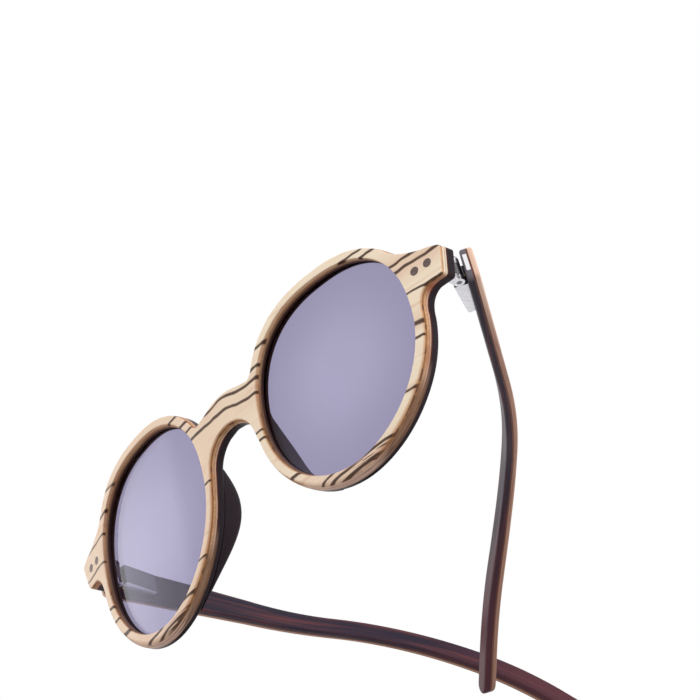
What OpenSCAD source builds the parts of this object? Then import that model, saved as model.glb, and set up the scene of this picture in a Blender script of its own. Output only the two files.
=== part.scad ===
// Wooden sunglasses: a laminated round front, tinted lenses and two folding arms on sprung hinges.
// Sizes are in millimetres. X runs across the face, the front looks towards -Y, the arms run to +Y, Z is up.
// The origin is on the middle plane at lens-centre height, where the nose sits between the pads.
// Left and right are the wearer's own: the left side is +X.

/* [Lenses] */
// Width of a lens opening
lens_w = 46; // [44:0.5:47]
// Height of a lens opening above its centre
lens_top = 23.3; // [22:0.1:24.5]
// Height of a lens opening below its centre
lens_bottom = 24.8; // [23:0.1:26]
// Squareness of the upper half of the opening, 2 is an ellipse
top_square = 2.4; // [2.1:0.05:2.6]
// Squareness of the lower half of the opening, 2 is an ellipse
bottom_square = 1.95; // [1.85:0.05:2.2]
// Gap between the two openings across the nose
lens_gap = 22.8; // [22:0.1:24]
// Lens thickness
lens_t = 1.1; // [0.9:0.05:1.3]
// Depth of the lens edge inside the rim
lens_seat = 0.75; // [0.5:0.05:0.9]
// Room around the lens edge in its groove
lens_room = 0.1; // [0.05:0.01:0.2]

/* [Front] */
// Radius of the sideways curve of the front
wrap_r = 310; // [280:5:360]
// Length of an end block outside the rim
end_len = 8.05; // [7.6:0.05:8.6]
// Rim width beside an opening
rim_side = 2.75; // [2.4:0.05:3]
// Rim width above an opening
rim_top = 2.5; // [2.2:0.1:3]
// Rim width below an opening
rim_bottom = 3.2; // [2.6:0.1:3.6]
// Striped face ply thickness
face_t = 0.75; // [0.6:0.05:1]
// Amber ply thickness
amber_t = 0.5; // [0.4:0.05:0.8]
// Cream ply thickness
cream_t = 0.5; // [0.4:0.05:0.8]
// Red-brown ply thickness
red_t = 0.35; // [0.3:0.05:0.6]
// Ebony back ply thickness
ebony_t = 1.9; // [1.8:0.05:2.1]
// Height of the top of the bridge above lens centre
bridge_top = 14.8; // [14:0.1:16]
// Radius of the upper edge of the bridge
bridge_r = 15; // [14:0.5:18]
// Height of the nose arch above lens centre
arch_top = 6.1; // [5:0.1:7]
// Radius of the nose arch
arch_r = 8.2; // [7.8:0.1:8.4]
// Height of the underside of an end block above lens centre
end_bottom = 3.5; // [3:0.1:4]
// Height of the top of an end block at its outer end
end_top = 10.5; // [10.2:0.1:11]
// Rise of the end block's top edge from its outer end to the rim
end_rise = 3.2; // [2.6:0.1:3.6]
// Inward lean of the end face over its height
end_lean = 1.4; // [0.8:0.1:1.6]
// Fillet where an end block meets the rim
end_fillet = 5; // [3:0.5:5.5]
// Rounding of the outer corners of an end block
end_round = 0.8; // [0.4:0.1:1.2]

/* [Nose pads] */
// Distance from the foremost point of the face back to the nose
nose_depth = 7; // [6:0.5:9]
// Height of the upper end of a pad above lens centre
pad_top = 3; // [1:0.5:4]
// Length of a pad in height
pad_len = 29; // [27:0.5:30]
// Greatest height of a pad behind the front
pad_h = 5.3; // [4:0.1:6]

/* [Hinges] */
// Distance of a hinge pin inside the end face
hinge_in = 3.7; // [3.5:0.05:3.9]
// Distance of a hinge pin behind the middle of the leaf plate
pin_back = 3.93; // [3.85:0.01:4.2]
// Height of the middle of a hinge above lens centre
hinge_z = 8; // [7.8:0.1:8.2]
// Radius of the hinge knuckles and of the carrier eye
knuckle_r = 1.3; // [1.2:0.05:1.4]
// Radius of the hinge screw
screw_r = 0.6; // [0.5:0.05:0.65]
// Running room around the hinge screw and the spring rod
run_room = 0.05; // [0.03:0.01:0.08]
// Height of the carrier eye
eye_h = 2.9; // [2.6:0.1:3.1]
// Height of one front knuckle
knuckle_h = 1.45; // [1.2:0.05:1.6]
// Room between the carrier eye and each front knuckle
eye_room = 0.1; // [0.06:0.02:0.2]
// Thickness of the front leaf plate
leaf_t = 1.2; // [1:0.05:1.25]
// Depth of the leaf plate in the ebony ply
leaf_sink = 0.4; // [0.3:0.05:0.55]
// Distance of the leaf plate inside the end face
leaf_edge = 1.3; // [1.2:0.02:1.6]
// Distance of the rivet pair outside the rim, on the face
rivet_out = 2.35; // [2:0.05:2.8]
// Spacing of the two rivets of a leaf
rivet_gap = 3.45; // [3:0.05:3.8]
// Radius of a rivet in the wood
rivet_r = 1.05; // [0.9:0.05:1.2]
// Radius of the spring rod
rod_r = 0.35; // [0.3:0.01:0.38]
// Radius of the bore that holds the spring
bore_r = 0.8; // [0.76:0.01:0.84]
// Length of the spring at rest
spring_len = 5; // [4.6:0.1:5.2]
// Metal of the housing beside the spring bore
house_wall = 1.4; // [1.2:0.05:1.6]
// Thickness of the housing at its rear end
house_thin = 1.74; // [1.5:0.02:2]
// Solid length of the housing behind the bore
house_end = 3.6; // [3:0.1:4.4]
// Height of the housing's tongue in the arm
tongue_h = 4.4; // [4:0.1:4.8]

/* [Arms] */
// Inward fold of the left arm as it lies
left_fold = 38.3; // [30:0.1:45]
// Inward fold of the right arm as it lies, below zero is splayed out
right_fold = -2; // [-2:0.1:8]
// Distance of an arm's inner face outside its hinge pin
arm_off = 1.84; // [1.8:0.02:1.9]
// Reach of an arm's end ahead of its hinge pin
arm_ahead = 2.4; // [2.2:0.05:2.4]
// Ebony inner ply thickness of an arm
arm_in_t = 1.4; // [1.3:0.05:1.6]
// Red-brown veneer thickness of an arm
arm_ven_t = 0.4; // [0.3:0.05:0.6]
// Outer ply thickness of an arm
arm_out_t = 1.1; // [0.9:0.05:1.4]
// Length of an arm along its middle line
arm_len = 155.6; // [150:0.2:157]
// Height of an arm at the hinge
arm_h = 8.5; // [8:0.1:8.8]
// Height of an arm past the ear bend
ear_h = 5; // [4.6:0.1:5.6]
// Height of the underside of an arm at the hinge, above lens centre
arm_bottom = 3.5; // [3.2:0.1:4]
// Rise of the underside of an arm over its straight length
arm_lift = 1.4; // [0.8:0.1:1.8]
// Straight length of an arm seen from above
arm_straight = 46.5; // [44:0.5:50]
// Inward bow of an arm seen from above
bow = 24.5; // [20:0.5:27]
// Radius of the bow at the inner face
bow_r = 170; // [155:1:180]
// Length of an arm ahead of the ear bend
drop_start = 75.5; // [73:0.5:78]
// Angle of the ear bend
drop = 39.5; // [34:0.5:42]
// Radius of the ear bend
drop_r = 100; // [92:0.5:106]

/* [Hidden] */
$fn = 96;
cx = (lens_w + lens_gap) / 2;
rim_x = cx + lens_w / 2 + rim_side;
half_w = rim_x + end_len;
reach = lens_top + lens_bottom;
front_t = face_t + amber_t + cream_t + red_t + ebony_t;
lens_d = front_t - ebony_t;
rivet_x = rim_x + rivet_out;
hinge_x = half_w - hinge_in;
end_a = asin(rivet_x / wrap_r);
leaf_d = front_t - leaf_sink;
leaf_in = rivet_gap / 2 + 1.4 * rivet_r;
leaf_out = (half_w - leaf_edge - rivet_x + leaf_d * sin(end_a)) / cos(end_a);
leaf_back = wrap_r - (wrap_r - leaf_d - leaf_t / 2 - hinge_x * sin(end_a)) / cos(end_a);
hinge_back = leaf_back + pin_back;
stack_h = eye_h / 2 + eye_room + knuckle_h;
web_w = 1.6 * knuckle_r;
leaf_step = 0.6;
leaf_h = 2 * (stack_h - leaf_step);
head_t = 0.5;
slot_w = 0.3;
rod_x = 0.85;
rod_root = 0.5;
shoulder = 0.65;
shoulder_room = 0.15;
house_gap = 0.6;
house_y = knuckle_r + house_gap;
bush_t = 0.9;
nut_t = 0.7;
nut_room = 0.1;
spring_y = house_y + bush_t;
spring_room = 0.02;
bore_end = 0.4;
bore_len = bush_t + spring_len + nut_t + bore_end;
house_len = bore_len + house_end;
tongue_cover = 0.4;
tongue_short = 0.6;
pad_edge = 0.3;
wire_r = 0.11;
coil_r = (rod_r + bore_r) / 2;
coils = 6;
drop_arc = drop_r * drop * PI / 180;
bow_arc = bow_r * bow * PI / 180;
tip_len = ear_h / 2;

// Point of an oval with its own upper and lower squareness, t in degrees
function oval_point(t, w, up, down) =
  let (
    c = cos(t),
    s = sin(t),
    n = s < 0 ? bottom_square : top_square,
    h = s < 0 ? down : up
  )
  [w / 2 * sign(c) * pow(abs(c), 2 / n), h * sign(s) * pow(abs(s), 2 / n)];

// Height of a pad behind the front, t from 0 at its upper end to 1 at its lower end
function pad_rise(t) = pad_edge + (pad_h - pad_edge) * pow(sin(180 * pow(t, 0.75)), 1.5);

// Distance of the middle of the nasal rim from the middle plane, at the height z
function rim_mid(z) =
  let (u = min(1, abs(z) / (lens_bottom + rim_bottom / 2)))
  cx - (lens_w + rim_side) / 2 * pow(1 - pow(u, bottom_square), 1 / bottom_square);

// Distance of the crest of a pad behind the face's foremost point, t as for pad_rise
function pad_crest(t) = front_t + pow(rim_mid(pad_top - t * pad_len), 2) / 2 / wrap_r + pad_rise(t);

// Height of an arm at the distance s along its middle line
function arm_height(s) =
  let (u = min(1, s / drop_start))
  arm_h - (arm_h - ear_h) * u * u * (3 - 2 * u);

// Downward angle of an arm at s
function arm_drop(s) = max(0, min(drop, (s - drop_start) / drop_r * 180 / PI));

// Length past the ear bend at s
function arm_tail(s) = max(0, s - drop_start - drop_arc);

// Level run of an arm from its end to s
function arm_run(s) = min(s, drop_start) + drop_r * sin(arm_drop(s)) + arm_tail(s) * cos(drop);

// Height of the middle line of an arm at s
function arm_level(s) =
  arm_bottom + arm_lift * min(1, s / arm_straight) + arm_height(s) / 2
  - drop_r * (1 - cos(arm_drop(s))) - arm_tail(s) * sin(drop);

// Point of an arm seen from above, at the level run r and the distance a outside the inner face
function plan_point(r, a) =
  let (
    b = max(0, min(bow, (r - arm_straight) / bow_r * 180 / PI)),
    rest = max(0, r - arm_straight - bow_arc)
  )
  [
    (bow_r + a) * cos(b) - bow_r - rest * sin(bow),
    min(r, arm_straight) + (bow_r + a) * sin(b) + rest * cos(bow)
  ];

// Point of an arm's edge, k is half the height at s, above or below the middle line
function arm_point(s, k) =
  [plan_point(arm_run(s) + k * sin(arm_drop(s)), 0)[1], arm_level(s) + k * cos(arm_drop(s))];

// Lens opening, grown by side, up and down
module oval(side, up, down) {
  polygon([for (t = [0:4:356]) oval_point(t, lens_w + 2 * side, lens_top + up, lens_bottom + down)]);
}

// Point of the rim's outer edge on the left side, t as for oval_point
function rim_point(t) = [cx, 0] + oval_point(t, lens_w + 2 * rim_side, lens_top + rim_top, lens_bottom + rim_bottom);

// Curve of n steps from a to b that leaves and arrives along the lines to c
function blend(a, c, b, n) =
  [for (i = [0:n]) let (u = i / n) (1 - u) * (1 - u) * a + 2 * u * (1 - u) * c + u * u * b];

// Point where the line from p along u meets the line from q along v
function meet(p, u, q, v) =
  p + u * ((q[0] - p[0]) * v[1] - (q[1] - p[1]) * v[0]) / (u[0] * v[1] - u[1] * v[0]);

// Rounded corner of size r at b, between the lines from a and to c
function corner(a, b, c, r) = blend(b + r * (a - b) / norm(a - b), b, b + r * (c - b) / norm(c - b), 3);

// Point of an arc around the middle plane, of the radius r with its top at the height z, turned by a
function arc_point(r, z, a) = [r * sin(a), z - r + r * cos(a)];

// Left half of the outline, from the nose arch around the rim and the end block to the top of the bridge
function half_outline() =
  let (
    low = [half_w - end_lean, end_bottom],
    high = [half_w, end_top],
    rise = [rim_x, end_top + end_rise],
    low_start = [rim_x + end_fillet, end_bottom],
    flare = high + (rise - high) * 0.8,
    rim_high = rim_point(38),
    rim_nose = rim_point(150),
    bridge_end = arc_point(bridge_r, bridge_top, 27)
  )
  concat(
    [for (a = [0:12.5:75]) arc_point(arch_r, arch_top, a)],
    [for (t = [192:4:352]) rim_point(t)],
    blend(rim_point(354), [rim_x, end_bottom], low_start, 6),
    corner(low_start, low, high, end_round),
    corner(low, high, rise, end_round),
    blend(flare, meet(rim_high, rim_point(37) - rim_high, high, rise - high), rim_high, 6),
    [for (t = [42:4:146]) rim_point(t)],
    blend(rim_nose, meet(rim_nose, rim_point(151) - rim_nose, bridge_end, [cos(27), -sin(27)]), bridge_end, 5),
    [for (a = [20:-5:0]) arc_point(bridge_r, bridge_top, a)]
  );

// Outline of the whole front without its openings
module front_outline() {
  half = half_outline();
  polygon(concat(half, [for (i = [len(half) - 2:-1:1]) [-half[i][0], half[i][1]]]));
}

// Moves a shape from the foremost point of the face to the origin at the nose
module seated() {
  translate([0, -nose_depth, 0])
    children();
}

// Turns a flat outline of X and Z into a block through the front
module through_front() {
  translate([0, reach, 0])
    rotate([90, 0, 0])
      linear_extrude(height = reach + front_t)
        children();
}

// Curved sheet of thickness t that starts at the depth d behind the face
module sheet(d, t) {
  translate([0, wrap_r, 0])
    difference() {
      cylinder(r = wrap_r - d, h = 2 * reach, center = true, $fn = 256);
      cylinder(r = wrap_r - d - t, h = 3 * reach, center = true, $fn = 256);
    }
}

// Places a shape on the left end block, square to the face between the two rivets
module at_end() {
  translate([0, wrap_r, hinge_z])
    rotate([0, 0, end_a])
      translate([0, -wrap_r, 0])
        children();
}

// Both sides of a shape that is drawn on the left
module both_sides() {
  children();
  mirror([1, 0, 0])
    children();
}

// Round pin through the front at both rivets of the left leaf, from the depth d over the length h
module rivet_pins(d, h, r) {
  at_end()
    for (i = [-1, 1])
      translate([i * rivet_gap / 2, d, 0])
        rotate([-90, 0, 0])
          cylinder(r = r, h = h);
}

// One ply of the front with its openings and rivet holes
module ply(d, t) {
  difference() {
    intersection() {
      sheet(d, t);
      through_front()
        front_outline();
    }
    both_sides() {
      through_front()
        translate([cx, 0])
          oval(0, 0, 0);
      rivet_pins(-front_t, 3 * front_t, rivet_r);
    }
  }
}

module face_ply() {
  color("#e6cdaf")
    seated()
      ply(0, face_t);
}

module amber_ply() {
  color("#aa7855")
    seated()
      ply(face_t, amber_t);
}

module cream_ply() {
  color("#e0b88c")
    seated()
      ply(face_t + amber_t, cream_t);
}

module red_ply() {
  color("#6e3728")
    seated()
      ply(lens_d - red_t, red_t);
}

// Back ply with the grooves of the lenses and the seats of the leaf plates
module ebony_ply() {
  color("#39302f")
    seated()
      difference() {
        ply(lens_d, ebony_t);
        both_sides() {
          intersection() {
            sheet(lens_d - red_t / 2, lens_t + red_t / 2);
            through_front()
              translate([cx, 0])
                oval(lens_seat + lens_room, lens_seat + lens_room, lens_seat + lens_room);
          }
          leaf_plate(front_t);
        }
      }
}

// Flat plate of a front leaf in its seat, of the thickness t
module leaf_plate(t) {
  at_end()
    translate([-leaf_in, leaf_d, -leaf_h / 2])
      cube([leaf_in + leaf_out, t, leaf_h]);
}

module lens() {
  seated()
    intersection() {
      sheet(lens_d, lens_t);
      through_front()
        translate([cx, 0])
          oval(lens_seat, lens_seat, lens_seat);
    }
}

module left_lens() {
  color("#9b96b4", 0.6)
    lens();
}

module right_lens() {
  color("#9b96b4", 0.6)
    mirror([1, 0, 0])
      lens();
}

// Pad that stands on the back of the rim beside the nose
module nose_pad() {
  seated()
    intersection() {
      translate([0, wrap_r, 0])
        cylinder(r = wrap_r - front_t, h = 2 * reach, center = true, $fn = 256);
      through_front()
        intersection() {
          translate([cx, 0])
            difference() {
              oval(rim_side, rim_top, rim_bottom);
              oval(0, 0, 0);
            }
          translate([0, -reach])
            square([cx, 2 * reach]);
        }
      rotate([90, 0, 90])
        linear_extrude(height = cx)
          polygon(concat(
            [for (i = [0:20]) [pad_crest(i / 20), pad_top - i / 20 * pad_len]],
            [[0, pad_top - pad_len], [0, pad_top]]
          ));
    }
}

module left_nose_pad() {
  color("#39302f")
    nose_pad();
}

module right_nose_pad() {
  color("#39302f")
    mirror([1, 0, 0])
      nose_pad();
}

// Moves a shape drawn around its hinge pin to the left hinge
module at_hinge() {
  translate([hinge_x, hinge_back - nose_depth, hinge_z])
    children();
}

// Left hinge with the arm folded
module left_arm() {
  at_hinge()
    rotate([0, 0, left_fold])
      children();
}

// Right hinge with the arm folded
module right_arm() {
  mirror([1, 0, 0])
    at_hinge()
      rotate([0, 0, right_fold])
        children();
}

// Front leaf: a riveted plate with two knuckles on webs
module hinge_leaf() {
  difference() {
    union() {
      seated()
        leaf_plate(leaf_t);
      at_hinge()
        for (z = [-stack_h, stack_h - knuckle_h])
          translate([0, 0, z]) {
            cylinder(r = knuckle_r, h = knuckle_h);
            translate([-web_w / 2, leaf_back - hinge_back, 0])
              cube([web_w, hinge_back - leaf_back, knuckle_h]);
          }
    }
    at_hinge()
      cylinder(r = screw_r, h = 4 * stack_h, center = true);
    seated()
      rivet_pins(0, 2 * front_t, rivet_r * 0.65);
  }
}

module left_hinge_leaf() {
  color("#cdc8d2")
    hinge_leaf();
}

module right_hinge_leaf() {
  color("#cdc8d2")
    mirror([1, 0, 0])
      hinge_leaf();
}

// Pair of stepped rivets with their heads level with the face
module leaf_rivets() {
  seated() {
    rivet_pins(0, leaf_d, rivet_r);
    rivet_pins(leaf_d, leaf_t, rivet_r * 0.65);
  }
}

module left_leaf_rivets() {
  color("#695555")
    leaf_rivets();
}

module right_leaf_rivets() {
  color("#695555")
    mirror([1, 0, 0])
      leaf_rivets();
}

// Screw with a slotted head on top of the upper knuckle
module hinge_screw() {
  at_hinge()
    difference() {
      union() {
        translate([0, 0, -stack_h])
          cylinder(r = screw_r, h = 2 * stack_h);
        translate([0, 0, stack_h])
          cylinder(r = knuckle_r * 0.85, h = head_t);
      }
      translate([-knuckle_r, -slot_w / 2, stack_h + head_t / 2])
        cube([2 * knuckle_r, slot_w, head_t]);
    }
}

module left_hinge_screw() {
  color("#b4b0b8")
    hinge_screw();
}

module right_hinge_screw() {
  color("#b4b0b8")
    mirror([1, 0, 0])
      hinge_screw();
}

// Carrier: an eye on the hinge screw, a shoulder and a rod that runs into the housing
module spring_carrier() {
  difference() {
    union() {
      cylinder(r = knuckle_r, h = eye_h, center = true);
      translate([rod_x - shoulder, 0, -eye_h * 0.4])
        cube([2 * shoulder, house_y - shoulder_room, eye_h * 0.8]);
      translate([rod_x, house_y - rod_root, 0])
        rotate([-90, 0, 0])
          cylinder(r = rod_r, h = rod_root + bush_t + spring_len + nut_t);
    }
    cylinder(r = screw_r + run_room, h = 2 * eye_h, center = true);
  }
}

module left_spring_carrier() {
  color("#bdb9c2")
    left_arm()
      spring_carrier();
}

module right_spring_carrier() {
  color("#bdb9c2")
    right_arm()
      spring_carrier();
}

// Ring around the rod from the distance y, of the length h, with the radii inside and outside
module rod_ring(y, h, inside, outside) {
  translate([rod_x, y, 0])
    rotate([-90, 0, 0])
      difference() {
        cylinder(r = outside, h = h);
        translate([0, 0, -h])
          cylinder(r = inside, h = 3 * h);
      }
}

module left_carrier_nut() {
  color("#b4b0b8")
    left_arm()
      rod_ring(spring_y + spring_len, nut_t, rod_r, bore_r - nut_room);
}

module right_carrier_nut() {
  color("#b4b0b8")
    right_arm()
      rod_ring(spring_y + spring_len, nut_t, rod_r, bore_r - nut_room);
}

module left_spring_bush() {
  color("#c8b070")
    left_arm()
      rod_ring(house_y, bush_t, rod_r + run_room, bore_r);
}

module right_spring_bush() {
  color("#c8b070")
    right_arm()
      rod_ring(house_y, bush_t, rod_r + run_room, bore_r);
}

// Coil spring around the rod, a six-sided wire along a helix
module spring() {
  rings = coils * 12;
  rise = spring_len - 2 * (wire_r + spring_room);
  points = [
    for (i = [0:rings])
      for (j = [0:5])
        let (
          a = 30 * i,
          r = coil_r + wire_r * cos(60 * j)
        )
        [r * cos(a), r * sin(a), wire_r + spring_room + rise * i / rings + wire_r * sin(60 * j)]
  ];
  walls = [
    for (i = [0:rings - 1])
      for (j = [0:5])
        let (k = (j + 1) % 6)
        [6 * i + j, 6 * i + k, 6 * i + 6 + k, 6 * i + 6 + j]
  ];
  translate([rod_x, spring_y, 0])
    rotate([-90, 0, 0])
      polyhedron(points, concat(walls, [[5, 4, 3, 2, 1, 0], [for (j = [0:5]) 6 * rings + j]]));
}

module left_spring() {
  color("#a0a0a8")
    left_arm()
      spring();
}

module right_spring() {
  color("#a0a0a8")
    right_arm()
      spring();
}

// Housing: a wedge on the inner face with the spring bore, and a tongue let into the ebony ply
module hinge_housing() {
  difference() {
    union() {
      translate([0, 0, -stack_h * 0.85])
        linear_extrude(height = stack_h * 1.7)
          polygon([
            [rod_x - bore_r - house_wall, house_y],
            [arm_off, house_y],
            [arm_off, house_y + house_len],
            [arm_off - house_thin, house_y + house_len]
          ]);
      tongue();
    }
    translate([rod_x, house_y - bush_t, 0])
      rotate([-90, 0, 0])
        cylinder(r = bore_r, h = bush_t + bore_len);
  }
}

// Tongue of the housing, whose front end shows in the end of the arm
module tongue() {
  translate([arm_off, house_y, -tongue_h / 2])
    cube([arm_in_t, house_len - tongue_short, tongue_h]);
  translate([arm_off + tongue_cover, -arm_ahead, -tongue_h / 2])
    cube([arm_in_t - tongue_cover, arm_ahead + spring_y, tongue_h]);
}

module left_hinge_housing() {
  color("#cdc8d2")
    left_arm()
      hinge_housing();
}

module right_hinge_housing() {
  color("#cdc8d2")
    right_arm()
      hinge_housing();
}

// Side view of an arm, from its end at the hinge to its rounded tip
module arm_side() {
  stations = concat(
    [for (i = [0:16]) drop_start * i / 16],
    [for (i = [1:16]) drop_start + drop_arc * i / 16]
  );
  tip = arm_len - tip_len;
  top_edge = [for (s = stations) arm_point(s, arm_height(s) / 2)];
  low_edge = [for (i = [len(stations) - 1:-1:0]) arm_point(stations[i], -arm_height(stations[i]) / 2)];
  tip_edge = [
    for (a = [0:15:180])
      arm_point(tip + tip_len * sin(a), ear_h / 2 * cos(a))
  ];
  polygon(concat(top_edge, tip_edge, low_edge));
}

// One ply of an arm, from the distance a outside the inner face, of the thickness t
module arm_ply(a, t) {
  stations = concat([0], [for (i = [0:20]) arm_straight + bow_arc * i / 20], [arm_len]);
  near = [for (r = stations) plan_point(r, a)];
  far = [for (i = [len(stations) - 1:-1:0]) plan_point(stations[i], a + t)];
  translate([arm_off, -arm_ahead, -hinge_z])
    intersection() {
      linear_extrude(height = arm_len, center = true)
        polygon(concat(far, near));
      rotate([90, 0, 90])
        linear_extrude(height = 2 * arm_len, center = true)
          arm_side();
    }
}

module arm_inner() {
  difference() {
    arm_ply(0, arm_in_t);
    tongue();
  }
}

module left_arm_inner() {
  color("#39302f")
    left_arm()
      arm_inner();
}

module right_arm_inner() {
  color("#39302f")
    right_arm()
      arm_inner();
}

module left_arm_veneer() {
  color("#6e3728")
    left_arm()
      arm_ply(arm_in_t, arm_ven_t);
}

module right_arm_veneer() {
  color("#6e3728")
    right_arm()
      arm_ply(arm_in_t, arm_ven_t);
}

module left_arm_outer() {
  color("#be8c6e")
    left_arm()
      arm_ply(arm_in_t + arm_ven_t, arm_out_t);
}

module right_arm_outer() {
  color("#be8c6e")
    right_arm()
      arm_ply(arm_in_t + arm_ven_t, arm_out_t);
}

face_ply();
amber_ply();
cream_ply();
red_ply();
ebony_ply();
left_lens();
right_lens();
left_nose_pad();
right_nose_pad();
left_hinge_leaf();
right_hinge_leaf();
left_leaf_rivets();
right_leaf_rivets();
left_hinge_screw();
right_hinge_screw();
left_spring_carrier();
right_spring_carrier();
left_carrier_nut();
right_carrier_nut();
left_spring_bush();
right_spring_bush();
left_spring();
right_spring();
left_hinge_housing();
right_hinge_housing();
left_arm_inner();
right_arm_inner();
left_arm_veneer();
right_arm_veneer();
left_arm_outer();
right_arm_outer();
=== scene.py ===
"""Looks of the wooden sunglasses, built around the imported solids."""
import math

import bmesh
import bpy
import numpy as np
from mathutils import Matrix, Vector


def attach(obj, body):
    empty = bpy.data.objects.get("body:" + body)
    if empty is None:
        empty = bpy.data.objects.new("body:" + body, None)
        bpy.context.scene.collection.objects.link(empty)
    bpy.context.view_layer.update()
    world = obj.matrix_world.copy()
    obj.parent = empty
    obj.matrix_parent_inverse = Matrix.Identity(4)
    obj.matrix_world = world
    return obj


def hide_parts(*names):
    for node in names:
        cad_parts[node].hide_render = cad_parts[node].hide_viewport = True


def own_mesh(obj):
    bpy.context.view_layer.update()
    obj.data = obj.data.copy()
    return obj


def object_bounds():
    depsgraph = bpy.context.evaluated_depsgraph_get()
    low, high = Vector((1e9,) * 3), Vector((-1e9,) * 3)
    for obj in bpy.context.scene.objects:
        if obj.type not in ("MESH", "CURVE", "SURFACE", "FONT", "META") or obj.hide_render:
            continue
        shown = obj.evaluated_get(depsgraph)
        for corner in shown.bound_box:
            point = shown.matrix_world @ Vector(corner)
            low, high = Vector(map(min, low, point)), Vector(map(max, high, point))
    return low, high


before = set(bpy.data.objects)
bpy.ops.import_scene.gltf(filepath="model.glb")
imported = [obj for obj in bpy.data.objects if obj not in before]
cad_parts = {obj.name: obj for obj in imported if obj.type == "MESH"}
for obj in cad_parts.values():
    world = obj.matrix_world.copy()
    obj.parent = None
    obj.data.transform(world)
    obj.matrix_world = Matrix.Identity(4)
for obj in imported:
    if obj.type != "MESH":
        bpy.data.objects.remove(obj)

bl_info = {
    "name": "Wooden sunglasses",
    "version": (1, 0, 0),
    "blender": (4, 5, 0),
    "location": "View3D > Sidebar > Sunglasses",
    "description": "Builds the plies, lenses, hinges and arms of round wooden sunglasses",
    "category": "Add Mesh",
}

MM = 0.001
# Materials by name, made once
FINISHES = {}
# Corners of the box around the solids, before any piece is added
CAD_BOX = [list(corner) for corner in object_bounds()]
# Settings of shader nodes: a smooth step, a mix of colours, and the product, difference and larger of two numbers
SMOOTH = {"interpolation_type": "SMOOTHSTEP"}
COLOURS = {"data_type": "RGBA"}
TIMES, LESS, LARGER = ({"operation": kind} for kind in ("MULTIPLY", "SUBTRACT", "MAXIMUM"))
# Choice of all outputs of a shader node
EVERY = slice(None)
# UV map that runs along and across an arm, and the size in millimetres of a pattern along the third axis, which
# that map lacks
ALONG, FLAT = "along_arm", 1000
# Points closer than this are one point
MERGE = 0.0004 * MM
# Edges with more than this many degrees between their faces stay sharp, and on metal are bevelled
SHARP, METAL_SHARP, METAL_BEVEL = 32, 35, 40
# A face looks one way where the cosine between the two is above this, and how much painted shade a hinge's inner
# faces get
FACING, INNER_PAINTED_SHADE = 0.9, 0.9
# Millimetres: the middle of a pair of rivets outside the rim, half their spacing, and the radius and the ends
# of their holes
RIVETS_OUT, RIVETS_HALF, RIVET_R, RIVET_ENDS = 2.35, 1.725, 1.06, (-2, 8)
# Corners in millimetres of the seat of a hinge leaf, and of the two boxes that make the slot for a hinge's tongue
LEAF_SEAT = (-3.2, 3.6, -2.41), (5.24, 7, 2.41)
TONGUE_SLOT = ((2.24, -4, -2.2), (3.5, 2.8, 2.2)), ((1, 1.9, -2.2), (3.5, 11.9, 2.2))
# Degrees around an opening between which a nose pad lies, its least height, and how deep it is glued in
PAD_START, PAD_END = 172, 252
PAD_FOOT, PAD_SUNK = 0.3 * MM, 0.02 * MM
# Shares of the rim's width left free beside a pad, and of its length over which each of its ends fades
PAD_FREE, PAD_FADE = 0.03, 0.07


def linear(code):
    """Linear colour of an sRGB hex code."""
    part = np.array([int(code[i:i + 2], 16) for i in (1, 3, 5)]) / 255
    return tuple(np.where(part <= 0.04045, part / 12.92, ((part + 0.055) / 1.055) ** 2.4))


def length(name, text, mm):
    """Property that holds a length, given in millimetres."""
    return bpy.props.FloatProperty(name=name, description=text, default=mm * MM, unit="LENGTH", precision=5)


def number(name, text, value):
    """Property that holds a plain number."""
    return bpy.props.FloatProperty(name=name, description=text, default=value)


def angle(name, text, degrees):
    """Property that holds an angle, given in degrees."""
    return bpy.props.FloatProperty(name=name, description=text, default=math.radians(degrees), subtype="ANGLE")


def colour(name, text, code):
    """Property that holds a colour, given as an sRGB hex code."""
    return bpy.props.FloatVectorProperty(
        name=name, description=text, default=linear(code), subtype="COLOR", size=3, min=0, max=1)


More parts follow.
